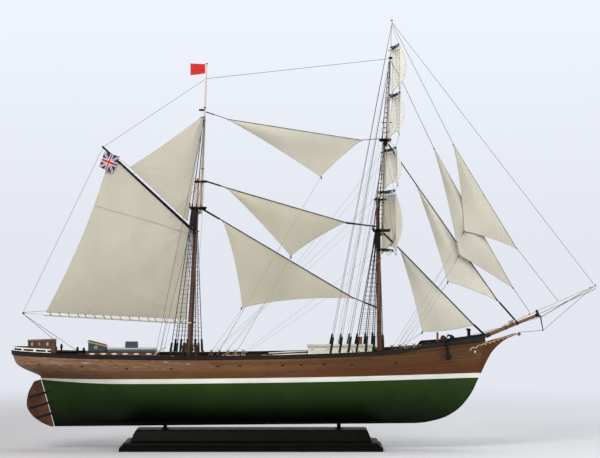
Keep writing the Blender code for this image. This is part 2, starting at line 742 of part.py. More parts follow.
def make_masts():
    brown = material("mahogany", (0.3, 0.12, 0.06), 0.4)
    pale = material("pale spar", (0.72, 0.6, 0.42), 0.5)
    spar("main_lower_mast", MAIN_LOWER_MAST, brown, 12)
    spar("main_topmast", MAIN_TOPMAST, pale)
    spar("fore_lower_mast", FORE_LOWER_MAST, brown, 12)
    spar("fore_topmast", FORE_TOPMAST, pale)
    spar("fore_topgallant_mast", FORE_TOPGALLANT_MAST, pale, 8)
    spar("bowsprit", BOWSPRIT, brown, 12)
    spar("jib_boom", JIB_BOOM, pale, 8)
    black = material("black paint", (0.02, 0.015, 0.02), 0.45)
    spar("dolphin_striker", DOLPHIN_STRIKER, black, 8)
    spar("gaff", GAFF, black, 8)
    spar("main_boom", MAIN_BOOM, material("white paint", (0.85, 0.84, 0.8), 0.5), 8)
    make_platform("main_top", 367.0, -90.5, -67.0, 13.0, 1.6, (MAIN_LOWER_MAST, MAIN_TOPMAST))
    make_platform("main_cap", 406.5, -85.0, -65.5, 5.0, 2.4, (MAIN_LOWER_MAST, MAIN_TOPMAST))
    make_platform("fore_top", 333.6, 182.5, 208.5, 14.0, 1.6, (FORE_LOWER_MAST, FORE_TOPMAST))
    make_platform("fore_cap", 379.6, 184.5, 203.8, 5.0, 2.2, (FORE_LOWER_MAST, FORE_TOPMAST))
    make_platform("fore_crosstrees", 469.0, 192.5, 210.0, 9.0, 1.4, (FORE_TOPMAST, FORE_TOPGALLANT_MAST))


def make_yards():
    black = material("black spar", (0.015, 0.015, 0.015), 0.4)
    for name, (x, z, half, thick, thin) in YARDS.items():
        forward = math.sin(YARD_BRACE) * half
        across = math.cos(YARD_BRACE) * half
        profile = ((0.0, thin * 0.7), (0.01, thin), (0.25, (thin + thick * 2) / 3), (0.45, thick))
        profile += ((0.55, thick), (0.75, (thin + thick * 2) / 3), (0.99, thin), (1.0, thin * 0.7))
        turned(name, (x + forward, -across, z), (x - forward, across, z), profile, black, 8)


# ---------------------------------------------------------------- sails and flags


def make_sheet(name, point, columns, rows, finish_material, thickness=CLOTH):
    """A thin closed panel over a grid of points, thickened along its own normals."""
    grid = [[point(c / columns, r / rows) for r in range(rows + 1)] for c in range(columns + 1)]

    def depth(c, r):
        along_c = grid[min(c + 1, columns)][r] - grid[max(c - 1, 0)][r]
        along_r = grid[c][min(r + 1, rows)] - grid[c][max(r - 1, 0)]
        return along_c.cross(along_r).normalized() * thickness

    return lattice(name, columns, rows, lambda c, r: grid[c][r], lambda c, r: False, depth, finish_material)


def make_triangle_sail(name, head, tack, clew, leech_hollow, foot_hollow, cloth):
    """A jib or staysail: its luff lies along the stay, its clew is sheeted to starboard.

    The panel ends in a short edge at the head, so that no corner closes to nothing.
    """
    head, tack, clew = Vector(head), Vector(tack), Vector(clew)
    inward = ((head + tack) / 2 - clew).normalized()
    upward = (head - (tack + clew) / 2).normalized()

    def point(across, down):
        down = 0.04 + 0.96 * down
        luff = head.lerp(tack, down)
        leech = head.lerp(clew, down)
        place = luff.lerp(leech, across)
        crown = 4.0 * down * (1.0 - down)
        place += inward * (leech_hollow * crown * across)
        place += upward * (foot_hollow * down**4 * 4.0 * across * (1.0 - across))
        place.y -= 9.0 * math.sin(math.pi * across) * crown**0.6 * 0.8
        return place

    return make_sheet(name, point, SAIL_STEPS, SAIL_STEPS, cloth)


def make_square_sail(name, head, foot, belly, roach, cloth):
    """A square sail bent to its yard, bellied forward, with an arched foot."""

    def point(across, down):
        share = across * 2.0 - 1.0
        x = head[0] + (foot[0] - head[0]) * down
        z = head[1] + (foot[1] - head[1]) * down
        half = head[2] + (foot[2] - head[2]) * down
        z += roach * down**3 * (1.0 - share * share)
        bulge = math.sin(math.pi * (0.12 + 0.80 * down)) * (1.0 - share**4)
        x += belly * bulge - half * share * math.sin(YARD_BRACE)
        return Vector((x, half * share, z))

    return make_sheet(name, point, SAIL_STEPS * 2, SAIL_STEPS, cloth)


def make_quad_sail(name, corners, belly, leech_hollow, cloth):
    """A gaff sail between four corners, bellied to starboard, its leech drawn in a little."""
    throat, peak, clew, tack = (Vector((x, 0.0, z)) for x, z in corners)

    def point(across, down):
        place = throat.lerp(peak, across).lerp(tack.lerp(clew, across), down)
        place.x += leech_hollow * 4.0 * down * (1.0 - down) * across**2
        place.y -= belly * math.sin(math.pi * across) ** 0.8 * math.sin(math.pi * down) ** 0.8
        return place

    return make_sheet(name, point, SAIL_STEPS, SAIL_STEPS, cloth)


def make_sails():
    cloth = material("sailcloth", (0.75, 0.72, 0.62), 0.8)
    for name, rows in TRIANGLE_SAILS.items():
        make_triangle_sail(name, *rows, cloth)
    for name, rows in SQUARE_SAILS.items():
        make_square_sail(name, *rows, cloth)
    make_quad_sail("mainsail", MAINSAIL, 12.0, 8.0, cloth)
    make_quad_sail("gaff_topsail", GAFF_TOPSAIL, 4.0, 3.0, cloth)
    red = material("red bunting", (0.7, 0.05, 0.05), 0.7)

    def house(across, down):
        return Vector((-68.4 - 22.0 * across, 3.0 * math.sin(3.5 * across), 582.0 - 14.0 * down + across * (1.0 - 4.0 * down)))

    make_sheet("house_flag", house, 4, 2, red, 0.5)

    def ensign(across, down):
        hoist = Vector((-219.0, 0.0, 450.0)).lerp(Vector((-227.0, 0.0, 427.5)), down)
        fly = Vector((-196.0, 0.0, 443.0)).lerp(Vector((-207.0, 0.0, 418.0)), down)
        place = hoist.lerp(fly, across)
        place.y = -6.0 - 2.0 * math.sin(4.0 * across)
        return place

    make_sheet("ensign", ensign, 4, 3, material("blue bunting", (0.1, 0.12, 0.4), 0.7), 0.5)


# ---------------------------------------------------------------- shrouds


def make_shrouds(name, feet, foot_z, top_x, top_z, top_half, side):
    """One gang of shrouds with its ratlines, a fan from the rail up to the mast head."""
    legs, steps = len(feet), 4
    columns, rows = 2 * legs - 1, 2 * steps + 1
    half_leg = 0.45

    def place(c, r):
        leg = min(c // 2, legs - 1)
        share = (r // 2) / steps + (0.0, 0.012)[r % 2] if r < rows else 1.0
        x_foot = feet[leg]
        foot = Vector((x_foot, side * (side_at(x_foot, 1.0) - 0.9), foot_z(x_foot)))
        head = Vector((top_x + (leg - (legs - 1) / 2) * 2.3, side * top_half, top_z))
        return foot.lerp(head, min(share, 1.0)) + Vector(((-half_leg, half_leg)[c % 2], 0.0, 0.0))

    def depth(c, r):
        return Vector((0.0, 0.8, 0.1))

    def is_hole(c, r):
        return c % 2 == 1 and r % 2 == 1

    return lattice(name, columns, rows, place, is_hole, depth, material("tarred rope", (0.02, 0.018, 0.016), 0.8))


def make_rigging():
    def foot_z(x):
        return sheer(x) + bulwark_height(x) + GAP

    for label, side in (("starboard", -1.0), ("port", 1.0)):
        main_feet = (-118.0, -109.0, -98.5, -86.0, -75.5)
        make_shrouds(f"main_shrouds_{label}", main_feet, foot_z, -84.5, 363.5, 8.5, side)
        fore_feet = (157.0, 171.0, 183.0, 197.0)
        make_shrouds(f"fore_shrouds_{label}", fore_feet, foot_z, 190.0, 330.5, 8.5, side)


def main():
    for old in list(bpy.data.objects):
        bpy.data.objects.remove(old, do_unlink=True)
    make_stand()
    make_shell()
    make_backbone()
    make_inner_frames()
    make_deck("main_deck", -326.0, 240.0, deck_height, 0.90, 1.4, 18)
    make_deck("forecastle_deck", 258.0, 327.0, forecastle_height, 1.0, 1.2, 5)
    make_bulwarks()
    make_stern_railing()
    make_rudder()
    make_deck_fittings()
    make_masts()
    make_yards()
    make_sails()
    make_rigging()


main()
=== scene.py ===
"""The looks of a two-masted sailing ship model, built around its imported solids.

Points are written in millimetres, with heights above the hull's baseline, and
are turned into the frame's metres when a piece is finished. The hull's form is
the solids' own: a few profiles and formulas, only finer.
"""

import itertools
import json
import math
import random

import bmesh
import bpy
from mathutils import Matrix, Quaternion, Vector, noise

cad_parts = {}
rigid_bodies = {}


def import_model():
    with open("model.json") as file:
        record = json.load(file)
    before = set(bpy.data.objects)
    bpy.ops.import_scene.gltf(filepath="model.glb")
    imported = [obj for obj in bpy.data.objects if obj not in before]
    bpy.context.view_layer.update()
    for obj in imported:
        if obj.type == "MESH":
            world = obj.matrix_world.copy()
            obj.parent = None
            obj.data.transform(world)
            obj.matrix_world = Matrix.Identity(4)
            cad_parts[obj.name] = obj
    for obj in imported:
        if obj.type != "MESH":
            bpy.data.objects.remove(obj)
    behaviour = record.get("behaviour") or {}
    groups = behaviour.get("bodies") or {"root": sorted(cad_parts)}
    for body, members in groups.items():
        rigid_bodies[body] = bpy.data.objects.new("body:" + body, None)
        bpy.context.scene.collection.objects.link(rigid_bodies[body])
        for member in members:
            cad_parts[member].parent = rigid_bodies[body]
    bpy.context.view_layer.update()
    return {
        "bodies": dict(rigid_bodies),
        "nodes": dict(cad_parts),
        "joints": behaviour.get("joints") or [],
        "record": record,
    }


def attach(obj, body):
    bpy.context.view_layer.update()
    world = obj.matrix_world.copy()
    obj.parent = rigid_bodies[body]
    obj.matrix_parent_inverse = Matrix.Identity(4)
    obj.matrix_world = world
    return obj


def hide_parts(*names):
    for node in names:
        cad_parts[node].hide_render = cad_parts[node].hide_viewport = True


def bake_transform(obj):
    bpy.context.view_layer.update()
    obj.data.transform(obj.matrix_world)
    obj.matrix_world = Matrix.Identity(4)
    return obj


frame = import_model()

MM = 0.001
BASELINE_DROP = 4.8
HULL = "hull"
BOOM = "boom_and_gaff"
SIDES = (-1.0, 1.0)
NAMED_SIDES = (("starboard", -1.0), ("port", 1.0))
rng = random.Random(4)


def V(x, y, z):
    return Vector((x, y, z))


def metres(point):
    """A point in millimetres above the baseline, in the frame."""
    return Vector((point[0], point[1], point[2] - BASELINE_DROP)) * MM


def axes(direction):
    """A direction of length one, with two more at right angles to it."""
    axis = Vector(direction).normalized()
    side = axis.orthogonal().normalized()
    return axis, side, axis.cross(side)


def round_points(centre, side, other, radius, count):
    """Points round a circle that lies in two directions."""
    turns = [math.tau * i / count for i in range(count)]
    return [centre + (side * math.cos(t) + other * math.sin(t)) * radius for t in turns]


def oval_points(centre, side, other, long, short, count):
    """Points round an oval with a half-length in each of two directions."""
    turns = [math.tau * i / count for i in range(count)]
    return [centre + side * (long * math.cos(t)) + other * (short * math.sin(t)) for t in turns]


def cut_corners(wide, tall, cut):
    """A rectangle about the origin, by its half-sizes, with its corners cut off."""
    w, h, c = wide, tall, cut
    return [(-w + c, -h), (w - c, -h), (w, -h + c), (w, h - c), (w - c, h), (-w + c, h), (-w, h - c), (-w, -h + c)]


def doubled(half):
    """A profile of (share, radius) whose second half mirrors the first."""
    return list(half) + [(1.0 - share, radius) for share, radius in reversed(half)]


def spline(a, b, c, d, t):
    """A place between b and c on a soft curve that passes a, b, c and d."""
    return 0.5 * (2 * b + (c - a) * t + (2 * a - 5 * b + 4 * c - d) * t * t + (3 * b - a - 3 * c + d) * t**3)


# ---------------------------------------------------------------- hull form

HALF_BEAM, PLATE, SHELL, MIDSHIP_X = 72.0, 4.4, 3.0, -20.0
SHEER_LOW_X, SHEER_LOW = -100.0, 141.4
KEEL_TOP = 45.7
DECK_DROP, DECK_CROWN = 3.2, 2.0
STERN_PROFILE = (
    (0.00, -287.5, 46.0),
    (0.40, -301.0, 87.5),
    (0.62, -309.0, 106.2),
    (0.71, -329.0, 111.5),
    (0.80, -346.0, 114.5),
    (0.90, -355.0, 116.0),
    (1.00, -358.0, 147.3),
)
BOW_PROFILE = (
    (0.00, 250.0, 47.5),
    (0.09, 281.0, 56.0),
    (0.20, 303.0, 68.0),
    (0.31, 318.0, 81.0),
    (0.46, 331.5, 99.0),
    (0.60, 340.0, 116.0),
    (0.75, 346.5, 134.0),
    (0.88, 350.5, 152.0),
    (1.00, 353.0, 168.0),
)
FORECASTLE_X = 254.0
BULWARK = 5.6


def interpolate(table, share):
    for low, high in zip(table, table[1:]):
        if share <= high[0]:
            t = (share - low[0]) / (high[0] - low[0])
            return [a + (b - a) * t for a, b in zip(low[1:], high[1:])]
    return list(table[-1][1:])


def eased(table, share, reach=0.05):
    """A row of a table, with its corners rounded off over a short reach."""
    rows = [interpolate(table, min(max(share + d * reach, 0.0), 1.0)) for d in (-1.0, -0.5, 0.0, 0.5, 1.0)]
    ends = min(share, 1.0 - share, reach) / reach
    middle = interpolate(table, share)
    mean = [sum(values) / 5 for values in zip(*rows)]
    return [a + (b - a) * ends for a, b in zip(middle, mean)]


def sheer(x):
    """The height of the hull's upper edge."""
    along_fore = max(x - SHEER_LOW_X, 0.0) / (BOW_PROFILE[-1][1] - SHEER_LOW_X)
    along_aft = max(SHEER_LOW_X - x, 0.0) / (SHEER_LOW_X - STERN_PROFILE[-1][1])
    return SHEER_LOW + 9.5 * along_fore**1.5 + 17.1 * along_fore**4.5 + 5.9 * along_aft**1.7


def midship_breadth(v):
    rise = min(v / 0.62, 1.0)
    return HALF_BEAM * (1.0 - (1.0 - rise) ** 2.3) ** 0.62 * (1.0 - 0.03 * max(v - 0.7, 0.0) / 0.3)


def hull_point(u, v, inset=0.0, end_half=PLATE / 2):
    """The starboard side at shares of its length and depth, moved inward by an inset."""
    stern_x, stern_z = eased(STERN_PROFILE, v)
    bow_x, bow_z = eased(BOW_PROFILE, v)
    stern_x += inset * 1.6
    bow_x -= inset * 2.0
    x = stern_x + (bow_x - stern_x) * u
    middle = (MIDSHIP_X - stern_x) / (bow_x - stern_x)
    middle_z = KEEL_TOP + (sheer(MIDSHIP_X) - KEEL_TOP) * v
    if u < middle:
        away = 1.0 - u / middle
        z = middle_z + (stern_z - middle_z) * away ** (2.2 + 0.6 * (1.0 - v))
        fullness, sharpness = 2.0 + 1.8 * v, 1.9 - 1.4 * min(v / 0.85, 1.0)
    else:
        away = (u - middle) / (1.0 - middle)
        z = middle_z + (bow_z - middle_z) * away**2.2
        fullness, sharpness = 2.0 + 0.9 * v, 1.7 - 0.72 * v
    z = z * (1.0 - v**4) + sheer(x) * v**4
    z += inset * (1.0 - v)
    shape = max(1.0 - away**fullness, 0.0) ** sharpness
    breadth = max(midship_breadth(v) - inset, end_half)
    return V(x, -(end_half + (breadth - end_half) * shape), z)


def mirrored(point):
    return V(point[0], -point[1], point[2])


def station(x, v, inset=0.0):
    """The share of the length that lies at X on one level."""
    low, high = 0.0, 1.0
    for _ in range(22):
        half = (low + high) / 2
        if hull_point(half, v, inset).x < x:
            low = half
        else:
            high = half
    return low


def side_at(x, v, inset=0.0):
    return -hull_point(station(x, v, inset), v, inset).y


def skin_at(x, z):
    """The starboard skin at a place along the ship and a height, with its outward direction."""
    low, high = 0.0, 1.0
    for _ in range(16):
        v = (low + high) / 2
        if hull_point(station(x, v), v).z < z:
            low = v
        else:
            high = v
    u, v = station(x, low), low
    here = hull_point(u, v)
    along = hull_point(min(u + 0.01, 1.0), v) - hull_point(max(u - 0.01, 0.0), v)
    upward = hull_point(u, min(v + 0.02, 1.0)) - hull_point(u, max(v - 0.02, 0.0))
    return here, along.cross(upward).normalized()


def bulwark_height(x):
    step = min(max((x - FORECASTLE_X) / 5.0 + 0.5, 0.0), 1.0)
    ahead = x - FORECASTLE_X
    raised = 164.6 + 0.06 * ahead + 0.0007 * ahead * max(ahead, 0.0) - sheer(x)
    return BULWARK + (raised - BULWARK) * step * step * (3.0 - 2.0 * step)


def rail_top(x):
    return sheer(x) + bulwark_height(x)


def deck_height(x):
    return sheer(x) - DECK_DROP


def forecastle_height(x):
    return 158.6 + 0.075 * (x - FORECASTLE_X)


def deck_top(x):
    return deck_height(x) + DECK_CROWN


# ---------------------------------------------------------------- mesh building


class Build:
    """Collects shapes, in millimetres, into one piece."""

    def __init__(self):
        self.bm = bmesh.new()
        self.uv = self.bm.loops.layers.uv.new("UVMap")
        self.slot = 0

    def face(self, corners, uvs=None):
        made = self.bm.faces.new(corners)
        made.material_index = self.slot
        if uvs:
            for loop, uv in zip(made.loops, uvs):
                loop[self.uv].uv = uv
        return made

    def loft(self, rings, closed=False):
        """Joins closed rings of points; UVs run round the ring and along the piece in metres."""
        loops = [[self.bm.verts.new(p) for p in ring] for ring in rings]
        count = len(loops[0])
        run = [0.0]
        for a, b in zip(rings, rings[1:]):
            run.append(run[-1] + (Vector(b[0]) - Vector(a[0])).length * MM)
        last = len(loops) if closed else len(loops) - 1
        for k in range(last):
            low, high = loops[k], loops[(k + 1) % len(loops)]
            v0, v1 = run[k], run[k + 1] if k + 1 < len(run) else run[k] + 0.001
            for i in range(count):
                j = (i + 1) % count
                u0, u1 = i / count, (i + 1) / count
                self.face((low[i], low[j], high[j], high[i]), ((u0, v0), (u1, v0), (u1, v1), (u0, v1)))
        if not closed:
            self.face(list(reversed(loops[0])))
            self.face(loops[-1])

    def tube(self, points, radius, sides=8, closed=False):
        """A round section along a line; radius is one number or one for each point."""
        points = [Vector(p) for p in points]
        count = len(points)
        radii = [radius] * count if isinstance(radius, (int, float)) else list(radius)
        first = (points[1] - points[0]).normalized()
        side = first.orthogonal().normalized()
        rings = []
        before = first
        for k, point in enumerate(points):
            if closed:
                tangent = (points[(k + 1) % count] - points[k - 1]).normalized()
            else:
                tangent = (points[min(k + 1, count - 1)] - points[max(k - 1, 0)]).normalized()
            turn = before.rotation_difference(tangent)
            side = (turn @ side).normalized()
            side = (side - tangent * side.dot(tangent)).normalized()
            other = tangent.cross(side)
            before = tangent
            rings.append(round_points(point, side, other, radii[k], sides))
        self.loft(rings, closed)

    def turned(self, start, end, profile, sides=20):
        """A round piece between two points; its profile is rows of (share of the length, radius)."""
        start, end = Vector(start), Vector(end)
        axis, side, other = axes(end - start)
        length = (end - start).length
        self.loft(
            [round_points(start + axis * (share * length), side, other, radius, sides) for share, radius in profile]
        )

    def block(self, centre, size, bevel, turn=None):
        """A box with its edges bevelled."""
        centre, turn = Vector(centre), turn or Quaternion()
        x, y, z = (s / 2 for s in size)
        b = min(bevel, x * 0.9, y * 0.9, z * 0.9)
        rings = []
        for inset, height in ((b, -z), (0.0, -z + b), (0.0, z - b), (b, z)):
            corners = cut_corners(x - inset, y - inset, b * 0.6)
            rings.append([centre + turn @ V(px, py, height) for px, py in corners])
        self.loft(rings)

    def blocks(self, xs, ys, zs, size, bevel):
        """The same box at every combination of places."""
        for place in itertools.product(xs, ys, zs):
            self.block(place, size, bevel)

    def prism(self, outline, depth):
        """An outline of points pushed along a vector."""
        outline, depth = [Vector(p) for p in outline], Vector(depth)
        self.loft([outline, [p + depth for p in outline]])

    def ball(self, centre, radius, axis=(0, 0, 1), squash=1.0, rows=7, sides=12):
        """A ball, drawn out or pressed flat along its axis."""
        axis = Vector(axis).normalized()
        profile = []
        for k in range(rows + 1):
            angle = math.pi * (0.02 + 0.96 * k / rows)
            profile.append((0.5 - 0.5 * math.cos(angle), radius * math.sin(angle)))
        half = axis * radius * squash
        self.turned(Vector(centre) - half, Vector(centre) + half, profile, sides)

    def ring(self, centre, axis, radius, wire, count=16, sides=6):
        """A round hoop of wire."""
        _, side, other = axes(axis)
        self.tube(round_points(Vector(centre), side, other, radius, count), wire, sides, closed=True)

    def coil(self, centre, radius, wire=0.5, layers=3, turns=4, corners=14):
        """A flat coil of rope: turns that lie beside and on each other."""
        axis, side, other = axes((0, 0, 1))
        points, steps = [], turns * corners
        for layer, k in itertools.product(range(layers), range(steps)):
            angle = math.tau * k / corners
            inward = k / steps if layer % 2 else 1.0 - k / steps
            r = radius - wire * 2 * turns * 0.9 * inward
            flat = side * math.cos(angle) + other * math.sin(angle)
            points.append(Vector(centre) + flat * r + axis * (wire * 1.8 * layer + wire))
        self.tube(points, wire, 5)

    def done(self, name, materials, body=HULL, slot=None, replaces=(), smooth=40.0):
        """Makes the piece, with the materials named, riding on a body if one is given."""
        for vertex in self.bm.verts:
            vertex.co = metres(vertex.co)
        bmesh.ops.recalc_face_normals(self.bm, faces=self.bm.faces)
        mesh = bpy.data.meshes.new(name)
        self.bm.to_mesh(mesh)
        self.bm.free()
        mesh.shade_smooth()
        mesh.set_sharp_from_angle(angle=math.radians(smooth))
        keys = [materials] if isinstance(materials, str) else materials
        for key in keys:
            mesh.materials.append(M[key])
        piece = bpy.data.objects.new(name, mesh)
        bpy.context.scene.collection.objects.link(piece)
        if body:
            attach(piece, body)
        if replaces:
            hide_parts(*replaces)
        return piece


# ---------------------------------------------------------------- materials

# the near floor is darker towards the left: painted shade

class Shader:
    """A Principled material whose colour, roughness and bump are drawn by nodes."""

    def __init__(self, name, roughness=0.5, **sockets):
        self.material = bpy.data.materials.new(name)
        self.material.use_nodes = True
        self.nodes = self.material.node_tree.nodes
        self.links = self.material.node_tree.links
        self.shader = self.nodes["Principled BSDF"]
        self.shader.inputs["Roughness"].default_value = roughness
        self.shader.inputs["Specular IOR Level"].default_value = 0.22
        for socket, value in sockets.items():
            self.shader.inputs[socket.replace("_", " ")].default_value = value
        self.coordinates = self.nodes.new("ShaderNodeTexCoord")

    def _set(self, socket, value):
        if hasattr(value, "is_output"):
            self.links.new(value, socket)
        else:
            socket.default_value = value

    def point(self, scale=(1.0, 1.0, 1.0), source="Object", rotation=(0.0, 0.0, 0.0)):
        mapping = self.nodes.new("ShaderNodeMapping")
        mapping.inputs["Scale"].default_value = scale
        mapping.inputs["Rotation"].default_value = rotation
        self.links.new(self.coordinates.outputs[source], mapping.inputs["Vector"])
        return mapping.outputs["Vector"]

    def axis(self, name, source="Object"):
        split = self.nodes.new("ShaderNodeSeparateXYZ")
        self.links.new(self.coordinates.outputs[source], split.inputs[0])
        return split.outputs[name]

    def noise(self, scale, point=None, detail=4.0, roughness=0.55, distortion=0.0):
        texture = self.nodes.new("ShaderNodeTexNoise")
        texture.inputs["Scale"].default_value = scale
        texture.inputs["Detail"].default_value = detail
        texture.inputs["Roughness"].default_value = roughness
        texture.inputs["Distortion"].default_value = distortion
        self.links.new(point or self.point(), texture.inputs["Vector"])
        return texture.outputs["Fac"]

    def wave(self, scale, direction, point=None, distortion=0.0):
        texture = self.nodes.new("ShaderNodeTexWave")
        texture.bands_direction = direction
        texture.inputs["Scale"].default_value = scale
        texture.inputs["Distortion"].default_value = distortion
        self.links.new(point or self.point(), texture.inputs["Vector"])
        return texture.outputs["Fac"]

    def maths(self, operation, a, b=0.0, c=0.0):
        node = self.nodes.new("ShaderNodeMath")
        node.operation = operation
        for socket, value in zip(node.inputs, (a, b, c)):
            self._set(socket, value)
        return node.outputs[0]

    def span(self, value, low, high, to_low=0.0, to_high=1.0, smooth=False):
        node = self.nodes.new("ShaderNodeMapRange")
        node.interpolation_type = "SMOOTHSTEP" if smooth else "LINEAR"
        for socket, amount in zip(list(node.inputs)[:5], (value, low, high, to_low, to_high)):
            self._set(socket, amount)
        return node.outputs[0]

    def mix(self, share, a, b, blend="MIX"):
        node = self.nodes.new("ShaderNodeMix")
        node.data_type = "RGBA"
        node.blend_type = blend
        self._set(node.inputs[0], share)
        for socket, colour in ((node.inputs[6], a), (node.inputs[7], b)):
            self._set(socket, colour if hasattr(colour, "is_output") else (*colour, 1.0))
        return node.outputs[2]

    def attribute(self, name):
        node = self.nodes.new("ShaderNodeAttribute")
        node.attribute_name = name
        return node.outputs["Fac"]

    def colour(self, value):
        self._set(self.shader.inputs["Base Color"], value)

    def rough(self, value):
        self._set(self.shader.inputs["Roughness"], value)

    def bump(self, height, distance, strength=1.0):
        node = self.nodes.new("ShaderNodeBump")
        node.inputs["Strength"].default_value = strength
        node.inputs["Distance"].default_value = distance
        self._set(node.inputs["Height"], height)
        if self.shader.inputs["Normal"].is_linked:
            before = self.shader.inputs["Normal"].links[0].from_socket
            self.links.new(before, node.inputs["Normal"])
        self.links.new(node.outputs["Normal"], self.shader.inputs["Normal"])


def wood(name, dark, light, grain=(1.0, 14.0, 14.0), roughness=0.45, coat=0.0, tinted=False, fine=60.0):
    """Timber with its grain drawn out along one axis."""
    made = Shader(name, roughness, Coat_Weight=coat)
    point = made.point(grain)
    broad = made.noise(fine, point, 5.0, 0.6, 0.4)
    pores = made.noise(fine * 6.0, made.point([g * 1.6 for g in grain]), 3.0, 0.7)
    colour = made.mix(made.span(broad, 0.3, 0.72), dark, light)
    colour = made.mix(made.span(pores, 0.56, 0.74, 0.0, 0.5), colour, [c * 0.45 for c in dark])
    if tinted:
        tint = made.attribute("tint")
        colour = made.mix(made.span(tint, 0.0, 1.0, 0.0, 0.55), colour, [c * 0.5 for c in dark])
        colour = made.mix(made.span(tint, 0.5, 1.0, 0.0, 0.3), colour, [min(c * 1.5, 1.0) for c in light])
    made.colour(colour)
    made.rough(made.span(broad, 0.2, 0.8, roughness - 0.08, roughness + 0.1))
    made.bump(pores, 0.00008, 0.5)
    return made.material


def paint(name, colour, roughness=0.5, worn=None, mottle=0.12, scale=90.0, gloss=0.22):
    """Brushed paint with faint unevenness and rubbed patches."""
    made = Shader(name, roughness, Specular_IOR_Level=gloss)
    cloud = made.noise(scale, None, 4.0, 0.6)
    shade = made.mix(
        made.span(cloud, 0.3, 0.7), [c * (1.0 - mottle) for c in colour], [min(c * (1 + mottle), 1) for c in colour]
    )
    if worn:
        rubbed = made.noise(scale * 3.5, None, 6.0, 0.7)
        shade = made.mix(made.span(rubbed, 0.66, 0.74, 0.0, 0.35), shade, worn)
    made.colour(shade)
    made.rough(made.span(cloud, 0.25, 0.75, roughness - 0.07, roughness + 0.09))
    made.bump(made.noise(scale * 8.0, None, 3.0, 0.6), 0.00006, 0.4)
    return made.material


def rope(name, colour, roughness=0.85, pitch=0.0016):
    """Laid rope: strands wind round it, drawn from the tube's own coordinates."""
    made = Shader(name, roughness)
    around, along = made.axis("X", "UV"), made.axis("Y", "UV")
    strand = made.maths(
        "FRACT", made.maths("ADD", made.maths("MULTIPLY", around, 3.0), made.maths("DIVIDE", along, pitch))
    )
    ridge = made.maths("SINE", made.maths("MULTIPLY", strand, math.pi))
    cloud = made.noise(900.0, None, 3.0)
    # each strand is lighter at its crown and darker towards the grooves: painted shade
    shade = made.mix(made.span(ridge, 0.1, 0.9), [c * 0.45 for c in colour], colour)
    made.colour(made.mix(made.span(cloud, 0.4, 0.7, 0.0, 0.4), shade, [c * 0.7 for c in colour]))
    made.bump(ridge, 0.00015, 0.6)
    return made.material


